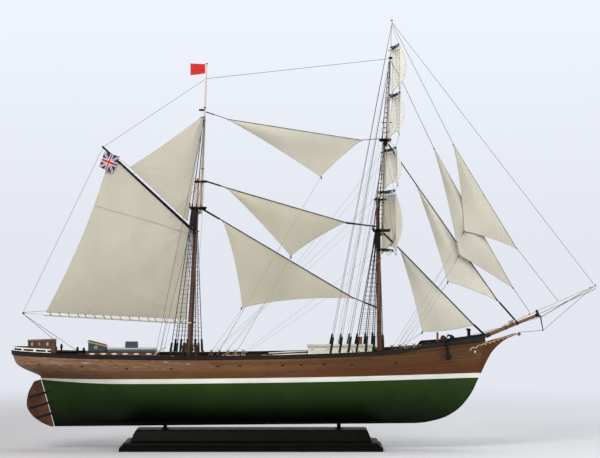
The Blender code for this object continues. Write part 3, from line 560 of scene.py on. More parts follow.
def hull_finish():
    """Dark green below a white stripe, oiled red-brown planks above it."""
    made = Shader("hull_finish", 0.45, Specular_IOR_Level=0.08)
    x, z = made.axis("X"), made.axis("Z")
    tint = made.attribute("tint")
    grain = made.noise(70.0, made.point((1.0, 12.0, 16.0)), 6.0, 0.65, 0.5)
    pores = made.noise(420.0, made.point((1.2, 9.0, 22.0)), 3.0, 0.7)
    cloud = made.noise(26.0, None, 4.0, 0.55)
    planks = made.mix(made.span(grain, 0.28, 0.74), (0.085, 0.040, 0.018), (0.175, 0.092, 0.042))
    planks = made.mix(made.span(tint, 0.0, 0.5, 0.40, 0.0), planks, (0.060, 0.022, 0.010))
    planks = made.mix(made.span(tint, 0.55, 1.0, 0.0, 0.40), planks, (0.230, 0.130, 0.062))
    planks = made.mix(made.span(cloud, 0.35, 0.7, 0.0, 0.35), planks, (0.150, 0.058, 0.024))
    planks = made.mix(made.span(pores, 0.55, 0.75, 0.0, 0.55), planks, (0.020, 0.008, 0.004))
    low_side = made.span(made.maths("SUBTRACT", z, made.maths("MULTIPLY", x, 0.03)), 0.128, 0.112, 0.0, 0.60)
    planks = made.mix(low_side, planks, (0.105, 0.030, 0.010))
    # a pale streaky wash on the upper aft planks: faded wood together with painted highlight
    worn = made.noise(30.0, made.point((1.0, 4.0, 9.0)), 5.0, 0.7)
    faded_and_highlight = made.maths("MULTIPLY", made.span(x, -0.06, -0.30), made.span(worn, 0.35, 0.65, 0.2, 0.8))
    faded_and_highlight = made.maths("MULTIPLY", faded_and_highlight, made.span(z, 0.112, 0.128, 0.12, 1.0))
    planks = made.mix(faded_and_highlight, planks, (0.290, 0.180, 0.115))
    # pale flecks on the upper aft planks: pale grain together with painted highlight
    flecks_and_highlight = made.noise(60.0, made.point((1.0, 1.0, 8.0)), 4.0, 0.7)
    flecks_and_highlight = made.maths("MULTIPLY", made.span(flecks_and_highlight, 0.58, 0.64), made.span(x, 0.0, -0.14, 0.0, 0.75))
    planks = made.mix(made.maths("MULTIPLY", flecks_and_highlight, made.span(z, 0.118, 0.128)), planks, (0.47, 0.31, 0.22))
    dark_flecks = made.noise(85.0, made.point((1.0, 1.0, 7.0)), 4.0, 0.7)
    planks = made.mix(made.span(dark_flecks, 0.58, 0.66, 0.0, 0.55), planks, (0.050, 0.012, 0.005))
    planks = made.mix(made.span(x, 0.0, 0.16, 0.0, 0.50), planks, (0.060, 0.022, 0.007))
    green = made.mix(made.span(cloud, 0.3, 0.7), (0.0165, 0.036, 0.0062), (0.0225, 0.047, 0.0085))
    # the green darkens towards the keel: painted shade under the hull
    green = made.mix(made.span(made.axis("Z"), 0.040, 0.098, 1.0, 0.0), green, (0.0008, 0.0018, 0.0006))
    white = made.mix(made.span(cloud, 0.3, 0.7), (0.62, 0.64, 0.57), (0.73, 0.75, 0.68))
    slope = made.maths("MULTIPLY", made.maths("ADD", x, 0.129), 0.0118)
    top = made.maths("ADD", slope, (113.2 - BASELINE_DROP) * MM)
    aft = made.maths("MAXIMUM", made.maths("MULTIPLY", made.maths("ADD", x, 0.200), -1.0 / 0.110), 0.0)
    lift = made.maths("MULTIPLY", made.maths("POWER", aft, 1.5), 0.0045)
    bottom = made.maths("ADD", made.maths("ADD", slope, (106.2 - BASELINE_DROP) * MM), lift)
    above_bottom = made.span(made.maths("SUBTRACT", z, bottom), -0.00015, 0.00015)
    above_top = made.span(made.maths("SUBTRACT", z, top), -0.00015, 0.00015)
    made.colour(made.mix(above_top, made.mix(above_bottom, green, white), planks))
    made.rough(made.span(cloud, 0.3, 0.7, 0.36, 0.5))
    made.bump(made.maths("MULTIPLY", pores, above_top), 0.0001, 0.5)
    return made.material


def cloth(name, colour, across="X", panel=0.017, seam=0.05, fade=False):
    """Plain linen: a fine weave, faint sewn panels and soft stains."""
    made = Shader(name, 0.9, Sheen_Weight=0.25, Sheen_Roughness=0.5)
    lengthways = "Z"
    warp = made.wave(520.0, across)
    weft = made.wave(520.0, lengthways)
    weave = made.maths("MULTIPLY", warp, weft)
    slub = made.noise(160.0, made.point((6.0, 6.0, 0.7)), 3.0, 0.6)
    cloud = made.noise(16.0, None, 4.0, 0.55)
    pale, deep = colour, [c * 0.84 for c in colour]
    shade = made.mix(made.span(cloud, 0.3, 0.72), deep, pale)
    shade = made.mix(made.span(slub, 0.45, 0.75, 0.0, 0.30), shade, [c * 0.80 for c in colour])
    # the hollows between the threads are darker: painted shade
    shade = made.mix(made.span(weave, 0.0, 0.6, 0.18, 0.0), shade, [c * 0.62 for c in colour])
    if fade:
        shade = made.mix(made.span(made.axis("X"), -0.17, -0.30, 0.0, 0.7), shade, [c * 0.76 for c in colour])
    place = made.maths("FRACT", made.maths("DIVIDE", made.axis(across), panel))
    line = made.maths("LESS_THAN", made.maths("ABSOLUTE", made.maths("SUBTRACT", place, 0.5)), 0.03)
    made.colour(made.mix(made.maths("MULTIPLY", line, seam), shade, [c * 0.55 for c in colour]))
    made.bump(weave, 0.0001, 0.5)
    made.bump(line, 0.00025, 0.5)
    return made.material


def ensign_bunting():
    """A blue field with red and white upright and diagonal crosses, drawn from the flag's own coordinates."""
    made = Shader("ensign_bunting", 0.85, Sheen_Weight=0.2)
    u, v = made.axis("X", "UV"), made.axis("Y", "UV")
    across = made.maths("ABSOLUTE", made.maths("SUBTRACT", u, 0.5))
    up = made.maths("ABSOLUTE", made.maths("SUBTRACT", v, 0.5))
    falling = made.maths("ABSOLUTE", made.maths("SUBTRACT", u, v))
    rising = made.maths("ABSOLUTE", made.maths("SUBTRACT", made.maths("ADD", u, v), 1.0))
    diagonal = made.maths("MINIMUM", falling, rising)
    upright = made.maths("MINIMUM", across, made.maths("MULTIPLY", up, 0.75))
    red, white, blue = (0.46, 0.03, 0.035), (0.66, 0.67, 0.66), (0.010, 0.035, 0.135)
    shade = made.mix(made.maths("LESS_THAN", diagonal, 0.085), blue, white)
    shade = made.mix(made.maths("LESS_THAN", diagonal, 0.032), shade, red)
    shade = made.mix(made.maths("LESS_THAN", upright, 0.095), shade, white)
    shade = made.mix(made.maths("LESS_THAN", upright, 0.05), shade, red)
    weave = made.maths("MULTIPLY", made.wave(600.0, "X"), made.wave(600.0, "Z"))
    # the hollows between the threads are darker: painted shade
    made.colour(made.mix(made.span(weave, 0.0, 0.6, 0.2, 0.0), shade, (0.02, 0.02, 0.03)))
    made.bump(weave, 0.0001, 0.5)
    return made.material


M = {
    "hull": hull_finish(),
    "black": paint("black_paint", (0.0075, 0.0065, 0.0065), 0.45, (0.03, 0.026, 0.026), 0.12, 90.0, 0.08),
    "wall": paint("bulwark_paint", (0.020, 0.0165, 0.0155), 0.5, (0.035, 0.03, 0.03), 0.2, 60.0, 0.06),
    "wall_dark": paint("bulwark_moulding", (0.010, 0.008, 0.008), 0.5, None, 0.1, 90.0, 0.06),
    "stand": paint("stand_black", (0.0034, 0.0032, 0.0026), 0.36, (0.012, 0.012, 0.011), 0.2, 60.0, 0.05),
    "deck": wood("deck_planks", (0.26, 0.155, 0.075), (0.44, 0.29, 0.155), (1.0, 16.0, 4.0), 0.62, tinted=True),
    "mast": wood("mast_mahogany", (0.046, 0.015, 0.006), (0.130, 0.052, 0.022), (14.0, 14.0, 1.0), 0.4, 0.08),
    "bowsprit": wood("bowsprit_timber", (0.10, 0.045, 0.022), (0.30, 0.155, 0.075), (1.0, 14.0, 14.0), 0.4, 0.2),
    "pale": wood("pale_spar", (0.46, 0.38, 0.27), (0.66, 0.58, 0.46), (12.0, 12.0, 1.0), 0.45, 0.1),
    "pale_along": wood("pale_jib_boom", (0.50, 0.43, 0.34), (0.70, 0.64, 0.54), (1.0, 12.0, 12.0), 0.45, 0.1),
    "rudder": wood("rudder_planks", (0.045, 0.014, 0.006), (0.120, 0.046, 0.020), (1.0, 12.0, 1.4), 0.45, 0.0, True),
    "white": paint("white_paint", (0.74, 0.73, 0.69), 0.5, (0.5, 0.47, 0.40), 0.05),
    "cream": paint("white_boom", (0.66, 0.64, 0.58), 0.5, (0.45, 0.41, 0.34), 0.07),
    "grey": paint("blue_grey_paint", (0.10, 0.135, 0.165), 0.5, (0.2, 0.2, 0.18)),
    "slate": paint("slate_paint", (0.050, 0.068, 0.086), 0.6, (0.13, 0.13, 0.12)),
    "pale_grey": paint("pale_grey_paint", (0.42, 0.455, 0.46), 0.55, (0.4, 0.4, 0.36)),
    "panel": wood("cabin_panels", (0.075, 0.036, 0.028), (0.165, 0.090, 0.068), (6.0, 6.0, 1.0), 0.5),
    "roof_brown": paint("roof_brown", (0.22, 0.135, 0.07), 0.9, (0.12, 0.07, 0.035), 0.1, 60.0, 0.02),
    "tan": paint("tan_roof", (0.44, 0.33, 0.20), 0.55, (0.3, 0.2, 0.1)),
    "roof": paint("grey_roof", (0.47, 0.47, 0.40), 0.6, (0.35, 0.33, 0.26), 0.08),
    "dark": wood("dark_timber", (0.030, 0.012, 0.007), (0.085, 0.034, 0.018), (8.0, 8.0, 1.0), 0.45),
    "rust": wood("rust_timber", (0.13, 0.042, 0.020), (0.26, 0.095, 0.045), (8.0, 8.0, 1.0), 0.5),
    "iron": paint("black_iron", (0.009, 0.009, 0.0095), 0.5, (0.04, 0.036, 0.03), 0.2, 220.0, 0.1),
    "chain": paint("grey_chain", (0.10, 0.095, 0.09), 0.5, None, 0.2, 220.0),
    "glass": paint("window_dark", (0.02, 0.026, 0.03), 0.15, None, 0.2),
    "pane": paint("pale_pane", (0.42, 0.45, 0.44), 0.3, None, 0.1),
    "brass": Shader("aged_brass", 0.35, Metallic=1.0, Base_Color=(0.50, 0.36, 0.15, 1.0)).material,
    "tarred": rope("tarred_rope", (0.016, 0.014, 0.013)),
    "thread": rope("dark_thread", (0.055, 0.048, 0.042), 0.9, 0.001),
    "hemp": rope("hemp_rope", (0.42, 0.34, 0.23)),
    "hank_dark": rope("dark_hank", (0.085, 0.048, 0.026)),
    "faint": rope("faint_line", (0.50, 0.47, 0.43), 0.9, 0.001),
    "hemp_grey": rope("grey_thread", (0.30, 0.28, 0.25), 0.9, 0.001),
    "sail": cloth("sailcloth", (0.545, 0.515, 0.425)),
    "sail_main": cloth("mainsail_cloth", (0.54, 0.505, 0.415), fade=True),
    # copies of the sailcloth, darker for the middle and main staysails and lighter for the inner jib and fore
    # staysail: painted shade and painted light
    "sail_low": cloth("staysail_cloth_painted_shade", (0.51, 0.477, 0.375)),
    "sail_fore": cloth("headsail_cloth_painted_light", (0.60, 0.575, 0.485)),
    # copies of the sailcloth, much lighter for the square sails and less so for the lower topsail: painted light
    "sail_square": cloth("square_sailcloth_painted_light", (0.81, 0.795, 0.70), "Y", 0.019),
    "sail_lowest": cloth("topsail_cloth_painted_light", (0.60, 0.565, 0.445), "Y", 0.019),
    "bolt": rope("bolt_rope", (0.46, 0.43, 0.35), 0.9, 0.0012),
    "red": cloth("red_bunting", (0.60, 0.028, 0.024), "X", 1.0, 0.0),
    "ensign": ensign_bunting(),
}


# ---------------------------------------------------------------- shapes along lines


def smooth_line(points, steps=6):
    """More points on a soft curve through the given ones."""
    points = [Vector(p) for p in points]
    line = []
    for i in range(len(points) - 1):
        a, b, c, d = (points[min(max(i + k, 0), len(points) - 1)] for k in (-1, 0, 1, 2))
        for k in range(steps):
            line.append(spline(a, b, c, d, k / steps))
    return line + [points[-1]]


def between(a, b, count, sag=0.0):
    """Points from one end of a line to the other, sagging a little in the middle."""
    a, b = Vector(a), Vector(b)
    line = []
    for k in range(count + 1):
        t = k / count
        line.append(a.lerp(b, t) - V(0, 0, 4.0 * sag * t * (1.0 - t)))
    return line


def grid_panel(build, point, columns, rows, thickness):
    """A closed panel on both sides of a grid of points, given by their shares across and down."""
    grid = [[point(c / columns, r / rows) for r in range(rows + 1)] for c in range(columns + 1)]
    near, far = [], []
    for c in range(columns + 1):
        near.append([])
        far.append([])
        for r in range(rows + 1):
            along_c = grid[min(c + 1, columns)][r] - grid[max(c - 1, 0)][r]
            along_r = grid[c][min(r + 1, rows)] - grid[c][max(r - 1, 0)]
            offset = along_c.cross(along_r).normalized() * thickness
            near[c].append(build.bm.verts.new(grid[c][r] - offset * 0.5))
            far[c].append(build.bm.verts.new(grid[c][r] + offset * 0.5))
    for c, r in itertools.product(range(columns), range(rows)):
        corners = ((c, r), (c + 1, r), (c + 1, r + 1), (c, r + 1))
        uvs = [(i / columns, 1.0 - j / rows) for i, j in corners]
        build.face([near[i][j] for i, j in corners], uvs)
        build.face([far[i][j] for i, j in reversed(corners)], list(reversed(uvs)))
        for k, on_edge in enumerate((r == 0, c == columns - 1, r == rows - 1, c == 0)):
            if on_edge:
                (ac, ar), (bc, br) = corners[k], corners[(k + 1) % 4]
                build.face((near[bc][br], near[ac][ar], far[ac][ar], far[bc][br]))
    return grid


def rim(shares, inset=0.0):
    """Points round the hull's top from the starboard bow by the stern to port, with outward directions."""
    starboard = [hull_point(u, 1.0, inset) for u in shares]
    points = starboard + [mirrored(p) for p in reversed(starboard)]
    outward = []
    for k in range(len(points)):
        heading = points[min(k + 1, len(points) - 1)] - points[max(k - 1, 0)]
        outward.append(V(-heading.y, heading.x, 0.0).normalized())
    return points, outward


def swept(build, points, outward, section):
    """A moulding of (outward, upward) section along a line."""
    build.loft([[p + o * a + V(0, 0, b) for a, b in section] for p, o in zip(points, outward)])


def rounded(width, height, out=0.0, corner=0.3):
    """A moulding's section with eased corners."""
    return [(a + out, b) for a, b in cut_corners(width / 2, height / 2, corner)]


# ---------------------------------------------------------------- stand


def make_stand():
    """A moulded board and the two posts that grip the keel."""
    centre, longer = 1.3, 137.5
    moulding = (
        (58.0, 0.0), (58.0, 5.2), (57.1, 6.4), (55.1, 7.0), (53.1, 8.6), (52.1, 10.6), (51.0, 12.2), (46.5, 13.0),
        (42.5, 14.0), (41.1, 15.4), (40.5, 17.0), (37.9, 24.0), (34.9, 29.4), (33.5, 30.3), (31.5, 30.5),
    )
    b = Build()
    rings = []
    for half, height in moulding:
        outline = cut_corners(half + longer, half, 1.2)
        rings.append([V(centre + x, y, height + BASELINE_DROP) for x, y in outline])
    b.loft(rings)
    b.done("stand_moulding", "stand", replaces=["stand_base"], smooth=25)
    for name, x in (("stand_post_aft", -128.4), ("stand_post_fore", 131.9)):
        keel = 38.6 + (43.2 - 38.6) * (x + 293.0) / 517.0 - 0.3
        foot = moulding[-1][1] + BASELINE_DROP
        b = Build()
        b.block((x, 0, (foot + keel - 1.5) / 2), (5.6, 8.4, keel - 1.5 - foot), 0.6)
        b.blocks([x], (-3.35, 3.35), [(keel + 3.0) / 2 + foot / 2], (5.6, 1.7, keel + 4.0 - foot), 0.4)
        b.turned((x, 0, foot), (x, 0, foot + 1.4), ((0, 6.4), (0.5, 6.2), (0.8, 5.4), (1, 4.6)), 24)
        b.done(name + "_turned", "stand", replaces=[name], smooth=30)


# ---------------------------------------------------------------- hull


def make_hull():
    """The planked skin with its thickness, and the keel with stem and sternpost."""
    columns, strakes = 150, 26
    shares = []
    for i in range(columns + 1):
        t = i / columns
        shares.append(0.3 * t + 0.7 * (0.5 - 0.5 * math.cos(math.pi * t)))
    levels, seams = [], []
    for k in range(strakes):
        low, high = (k / strakes) ** 0.93, ((k + 1) / strakes) ** 0.93
        groove = (0.28 if low > 0.62 else 0.05) if k else 0.0
        levels += [(low, groove), (low + 0.004, 0.0), ((low + high) / 2, 0.0), (high - 0.004, 0.0)]
        seams += [k] * 4
    levels.append((1.0, 0.0))
    b = Build()
    tint = b.bm.faces.layers.float.new("tint")
    butts = []
    for k in range(strakes):
        marks, at = [], -rng.random() * 14
        while at < columns:
            marks.append((at, rng.random()))
            at += rng.uniform(17, 31)
        butts.append(marks)
    sides = []
    for turn in (Vector, mirrored):
        rows = []
        for v, inset in levels:
            rows.append([b.bm.verts.new(turn(hull_point(u, v, inset))) for u in shares])
        sides.append(rows)
    for rows in sides:
        for j in range(len(rows) - 1):
            for i in range(columns):
                face = b.face((rows[j][i], rows[j][i + 1], rows[j + 1][i + 1], rows[j + 1][i]))
                face[tint] = ([0.5] + [shade for at, shade in butts[seams[j]] if at <= i])[-1]
    inner = []
    inside = (0.0, 0.15, 0.35, 0.6, 0.8, 0.9, 1.0)
    for turn in (Vector, mirrored):
        inner.append([[b.bm.verts.new(turn(hull_point(u, v, SHELL, 0.6))) for u in shares] for v in inside])

    def strip(low, high):
        for i in range(len(low) - 1):
            b.face((low[i], low[i + 1], high[i + 1], high[i]))

    for rows in inner:
        for low, high in zip(rows, rows[1:]):
            strip(low, high)
    for starboard, port in (sides, inner):
        strip(starboard[0], port[0])
        for end in (0, columns):
            strip([row[end] for row in starboard], [row[end] for row in port])
    for outside, within in zip(sides, inner):
        strip(outside[-1], within[-1])
    for end in (0, columns):
        b.face((sides[0][-1][end], inner[0][-1][end], inner[1][-1][end], sides[1][-1][end]))
    b.done("hull_planking", "hull", replaces=["hull_shell"], smooth=28)

    pairs = (
        ((-316.2, 117.0), (-306.0, 113.0)), ((-293.7, 38.6), (-280.0, 50.0)), ((-180.0, 39.5), (-180.0, 48.0)),
        ((-80.0, 40.5), (-80.0, 48.0)), ((110.0, 42.2), (110.0, 49.0)), ((224.0, 43.2), (224.0, 50.0)),
        ((252.0, 43.8), (246.0, 52.0)), ((270.0, 46.5), (262.0, 56.0)), ((291.0, 52.5), (282.0, 62.0)),
        ((310.0, 64.0), (300.0, 74.0)), ((323.0, 77.5), (313.0, 86.0)), ((333.0, 92.7), (323.0, 100.0)),
        ((340.5, 109.0), (332.0, 114.0)), ((346.0, 120.0), (338.0, 126.0)), ((354.0, 137.0), (344.0, 146.0)),
        ((363.0, 152.0), (349.0, 162.0)), ((377.0, 165.5), (358.0, 167.2)), ((390.0, 173.0), (375.0, 171.8)),
        ((404.5, 177.6), (395.0, 178.0)),
    )
    outer = smooth_line([(x, 0, z) for (x, z), _ in pairs[1:]], 5)
    inside_line = smooth_line([(x, 0, z) for _, (x, z) in pairs[1:]], 5)
    outer = between((pairs[0][0][0], 0, pairs[0][0][1]), outer[0], 8)[:-1] + outer
    inside_line = between((pairs[0][1][0], 0, pairs[0][1][1]), inside_line[0], 8)[:-1] + inside_line
    b = Build()
    half = PLATE / 2
    rings = []
    for o, i in zip(outer, inside_line):
        d = (i - o).normalized() * 0.5
        rings.append([V(p.x, y, p.z) for p, y in (
            (o, -half + 0.5), (o + d, -half), (i, -half), (i, half), (o + d, half), (o, half - 0.5))])
    b.loft(rings)
    b.done("keel_and_stem", "hull", slot="mahogany", replaces=["backbone"], smooth=30)


def make_bulwarks():
    """The wall round the deck, its mouldings, stanchions and cap rail."""
    shares = {round(0.997 * (1.0 - i / 90) ** 1.6, 5) for i in range(91)}
    shares |= {round(station(FORECASTLE_X + d, 1.0), 5) for d in (-3.5, -2.5, -1.5, -0.5, 0.5, 1.5, 2.5, 3.5)}
    points, outward = rim(sorted(shares, reverse=True))

    def lift(x):
        rise, fall = (min(max(t, 0.0), 1.0) for t in ((x - 222.0) / 36.0, (x - 285.0) / 60.0))
        return 0.1 + 3.4 * rise * rise * (3 - 2 * rise) * (1 - fall * fall * (3 - 2 * fall))

    b = Build()
    walls, strips = [], []
    for p, o in zip(points, outward):
        low, high = lift(p.x), bulwark_height(p.x) - 0.9
        walls.append([p + o * a + V(0, 0, z) for a, z in ((-0.95, low), (0.75, low), (0.75, high), (-0.95, high))])
        strips.append([p + o * a + V(0, 0, z) for a, z in ((-0.95, 0.0), (0.1, 0.0), (0.1, low), (-0.95, low))])
    b.loft(walls)
    b.slot = 3
    b.loft(strips)
    b.slot = 1
    swept(b, [V(p.x, p.y, p.z + bulwark_height(p.x) - 0.65) for p in points], outward, rounded(3.6, 1.3, -0.75))
    b.slot = 2
    swept(b, [V(p.x, p.y, p.z + 0.1 + lift(p.x)) for p in points], outward, rounded(1.4, 1.5, 0.1, 0.35))
    b.slot = 0
    for k in range(4, len(points) - 4, 3):
        p, o = points[k], outward[k]
        if abs(p.x - FORECASTLE_X) < 8:
            continue
        tall = bulwark_height(p.x) - 0.9
        angle = math.atan2(o.y, o.x)
        b.block(V(p.x, p.y, p.z + tall / 2) - o * 2.3, (1.2, 1.0, tall), 0.2, Quaternion((0, 0, 1), angle))
    b.done("bulwark_and_cap_rail", ["wall", "black", "wall_dark", "hull"], replaces=["bulwarks"], smooth=30)

    b = Build()
    fore = [k for k, p in enumerate(points) if p.x > FORECASTLE_X + 3.0]
    for run in ([k for k in fore if points[k].y < 0], [k for k in fore if points[k].y > 0]):
        if len(run) > 2:
            line = [V(points[k].x, points[k].y, points[k].z + bulwark_height(points[k].x) + 0.45) for k in run]
            swept(b, line, [outward[k] for k in run], rounded(4.0, 0.9, -0.7))
    b.done("forecastle_rail_cap", "black", smooth=30)


def make_railing():
    """Flat white boards round the stern, with long openings between them; a black strip behind the boards fills the
    openings as painted shade.
    """
    points, outward = rim([0.0865 * (1.0 - i / 60) ** 1.6 for i in range(61)], 1.0)
    b = Build()
    for low, width, tall in ((0.7, 1.3, 1.1), (4.9, 1.6, 1.7)):
        line = [V(p.x, p.y, p.z + BULWARK + low) for p in points]
        swept(b, line, outward, rounded(width, tall))
    for p, o in zip(points, outward):
        nearest = min(abs(p.x - x) for x in (-356.0, -339.0, -320.0, -301.0))
        if nearest > 0.9 and abs(abs(p.y) - 14.0) > 1.0:
            continue
        foot = V(p.x, p.y, p.z + BULWARK + 2.8)
        b.block(foot, (1.2, 2.4, 4.4), 0.2, Quaternion((0, 0, 1), math.atan2(o.y, o.x)))
    # a black strip behind the boards: painted shade seen through the openings
    b.slot = 1
    line = [V(p.x, p.y, p.z + BULWARK + 2.8) - o * 1.5 for p, o in zip(points, outward)]
    swept(b, line, outward, rounded(0.5, 4.4, 0.0, 0.1))
    b.done("taffrail", ["white", "black"], replaces=["stern_railing"], smooth=35)


def deck_edge(x):
    return side_at(x, 0.958, SHELL) + 0.15


def make_decks():
    """Both decks in planks, their edges, and the bulkhead between them."""

    def lay(name, start, end, height, edge, planks, stations, node):
        b = Build()
        tint = b.bm.faces.layers.float.new("tint")
        across = []
        for k in range(planks):
            low, high = -1.0 + 2.0 * k / planks, -1.0 + 2.0 * (k + 1) / planks
            seam = 0.06 / planks * 2.0
            across += [(low, 0.22), (low + seam, 0.0), (high - seam, 0.0)]
        across.append((1.0, 0.22))
        rows = []
        for thick in (0.0, 1.5):
            layer = []
            for i in range(stations + 1):
                x = start + (end - start) * i / stations
                half = edge(x)
                row = []
                for s, dip in across:
                    z = height(x) + DECK_CROWN * (1.0 - s * s) - thick - (0.0 if thick else dip)
                    row.append(b.bm.verts.new((x, half * s, z)))
                layer.append(row)
            rows.append(layer)
        top, bottom = rows
        last = len(across) - 1
        shades = [[rng.random() for _ in range(planks)] for _ in range(stations // 6 + 2)]
        shifts = [rng.randrange(6) for _ in range(planks)]
        for i in range(stations):
            for j in range(last):
                face = b.face((top[i][j], top[i][j + 1], top[i + 1][j + 1], top[i + 1][j]))
                plank = min(j // 3, planks - 1)
                face[tint] = shades[(i + shifts[plank]) // 6][plank]
                b.face((bottom[i][j], bottom[i + 1][j], bottom[i + 1][j + 1], bottom[i][j + 1]))
            for j in (0, last):
                b.face((top[i][j], top[i + 1][j], bottom[i + 1][j], bottom[i][j]))
        for i in (0, stations):
            for j in range(last):
                b.face((top[i][j], top[i][j + 1], bottom[i][j + 1], bottom[i][j]))
        b.done(name, "deck", replaces=[node], smooth=25)

    lay("main_deck_planking", -330.0, 252.0, deck_height, deck_edge, 38, 96, "main_deck")

    def fore_edge(x):
        return max(side_at(x, 1.0, SHELL) - 0.2, 2.0)

    lay("forecastle_planking", 254.5, 338.0, forecastle_height, fore_edge, 24, 18, "forecastle_deck")
    b = Build()
    for side in SIDES:
        line, out = [], []
        for i in range(81):
            x = -330.0 + 582.0 * i / 80
            line.append(V(x, side * (deck_edge(x) - 1.3), deck_height(x) + 0.45))
            out.append(V(0, side, 0))
        swept(b, line, out, rounded(2.8, 0.9, 0.0, 0.25))
    x = 254.6
    low, high = deck_height(x), forecastle_height(x) + 1.4
    half = side_at(x, 1.0, SHELL) - 2.5
    b.block((x, 0, (low + high) / 2), (1.4, half * 2, high - low), 0.2)
    b.done("waterways", "rust", smooth=30)
    b = Build()
    for side in SIDES:
        b.block((253.6, side * 20.0, (low + high) / 2 - 0.5), (1.0, 9.0, high - low - 3.0), 0.25)
        b.ball((252.9, side * 17.0, (low + high) / 2), 0.6)
    b.done("forecastle_doors", "panel", smooth=30)


# ---------------------------------------------------------------- rudder


def flat_bar(b, path, half, thick):
    """A flat bar along a line, by half its width and its thickness as vectors."""
    b.loft([[p + half, p + half + thick, p - half + thick, p - half] for p in path])


STRAP_HEIGHTS = (0.255, 0.47, 0.68)


def make_rudder():
    """The planked blade, its straps, and the gudgeons on the sternpost."""
    foot, top = V(-294.8, 0, 39.0), V(-315.6, 0, 112.6)
    up = (top - foot).normalized()
    aft = V(-up.z, 0, up.x)
    edge = (
        (0.0, 1.0), (0.06, 7.0), (0.13, 13.5), (0.28, 23.0), (0.48, 28.5), (0.65, 25.5), (0.80, 19.0), (0.93, 9.5),
        (0.995, 4.5)
    )
    height = (top - foot).length

    def reach(share):
        p = [max(d[1], 0.5) for d in edge]
        for i in range(len(edge) - 1):
            if share <= edge[i + 1][0]:
                t = (share - edge[i][0]) / (edge[i + 1][0] - edge[i][0])
                return spline(*(p[min(max(i + k, 0), len(p) - 1)] for k in (-1, 0, 1, 2)), t)
        return p[-1]

    b = Build()
    tint = b.bm.faces.layers.float.new("tint")
    count, boards = 40, 6
    edges = [0.3]
    for k in range(boards):
        edges += [0.3 + 5.0 * k + 0.25, 0.3 + 5.0 * (k + 1) - 0.25, 0.3 + 5.0 * (k + 1)]
    rows = []
    for i in range(count + 1):
        share = 0.002 + 0.95 * i / count
        base = foot + up * (share * height) + aft * 2.0
        r = reach(share)
        ring = []
        for a in range(9):
            angle = math.pi * (a / 8 - 0.5)
            ring.append((base - aft * (1.7 * math.cos(angle)), 1.7 * math.sin(angle)))
        side = []
        for k, e in enumerate(edges):
            reach_here = min(e, r)
            thin = 1.7 - 0.75 * reach_here / 30.0
            dip = 0.22 if k % 3 == 0 and k and e < r else 0.0
            side.append((base + aft * reach_here, thin - dip))
        tail = [(base + aft * (r + 0.5), 0.35)]
        points = ring + side + tail + [(p, -y) for p, y in reversed(tail)] + [(p, -y) for p, y in reversed(side)]
        rows.append([V(p.x, y, p.z) for p, y in points])
    b.loft(rows)
    for face in b.bm.faces:
        centre = face.calc_center_median()
        across = (centre - foot).dot(aft) - 2.0
        face[tint] = (math.sin(37.1 * math.floor(across / 5.0)) * 43.7) % 1.0
    bmesh.ops.dissolve_degenerate(b.bm, edges=b.bm.edges, dist=0.01)
    b.done("rudder_blade", "rudder", "rudder", "rudder_wood", ["rudder"], 30)
    b = Build()
    for share in STRAP_HEIGHTS:
        base = foot + up * (share * height)
        long = reach(share) * 0.99
        for side in SIDES:
            path = [
                base + aft * d + V(0, side * (2.05 - 0.65 * max(d - 2, 0) / 30.0), 0)
                for d in (0.2, 2.0, long * 0.5, long)
            ]
            flat_bar(b, path, up * 1.6, V(0, side * 0.5, 0))
            for d in (4.0, 10.0, 16.0, 22.0):
                if d < long - 1:
                    p = base + aft * d + V(0, side * (2.45 - 0.65 * max(d - 2, 0) / 30.0), 0)
                    b.turned(p, p + V(0, side * 0.35, 0), ((0, 0.42), (0.6, 0.38), (1, 0.15)), 8)
        b.turned(base - up * 1.6, base + up * 1.6, doubled(((0, 1.0), (0.1, 1.15))), 12)
    rim_line = []
    for k in range(31):
        share = 0.01 + 0.935 * k / 30
        rim_line.append(foot + up * (share * height) + aft * (2.2 + reach(share)))
    b.tube(rim_line, 0.75, 7)
    b.done("rudder_straps", "iron", "rudder", "iron", (), 30)
    b = Build()
    for share in STRAP_HEIGHTS:
        base = foot + up * (share * height) - aft * 1.6
        for side in SIDES:
            path = [base + aft * d + V(0, side * 2.45, 0) for d in (1.2, -2.0, -9.0)]
            flat_bar(b, path, up * 0.9, V(0, side * 0.4, 0))
    b.done("sternpost_gudgeons", "iron", smooth=30)


def oval(b, centre, out, wide, tall, depth):
    """A flat oval plate on a side."""
    centre, out = Vector(centre), Vector(out).normalized()
    along = out.cross(V(0, 0, 1)).normalized()
    up = along.cross(out)
    b.prism(oval_points(centre, along, up, wide / 2, tall / 2, 20), out * depth)


def make_scuppers():
    """Small oval ports along both sides."""
    b = Build()
    for x, z, wide in (
        (-314.0, 133.0, 4.4), (-248.0, 131.1, 4.6), (-182.0, 128.2, 5.0), (-116.0, 128.2, 4.8), (-47.0, 131.9, 5.6),
        (-14.7, 132.6, 6.4), (48.3, 133.4, 5.6), (76.0, 134.1, 6.2), (109.0, 134.8, 7.4), (150.0, 134.1, 5.4),
        (216.0, 136.0, 4.6),
    ):
        at, out = skin_at(x, z)
        for side in SIDES:
            facing = V(out.x, side * abs(out.y), out.z)
            place = V(at.x, side * abs(at.y), at.z)
            oval(b, place - facing * 0.6, facing, wide, 2.2, 0.8)
    b.done("scuppers", "iron", smooth=30)


# ---------------------------------------------------------------- deck fittings


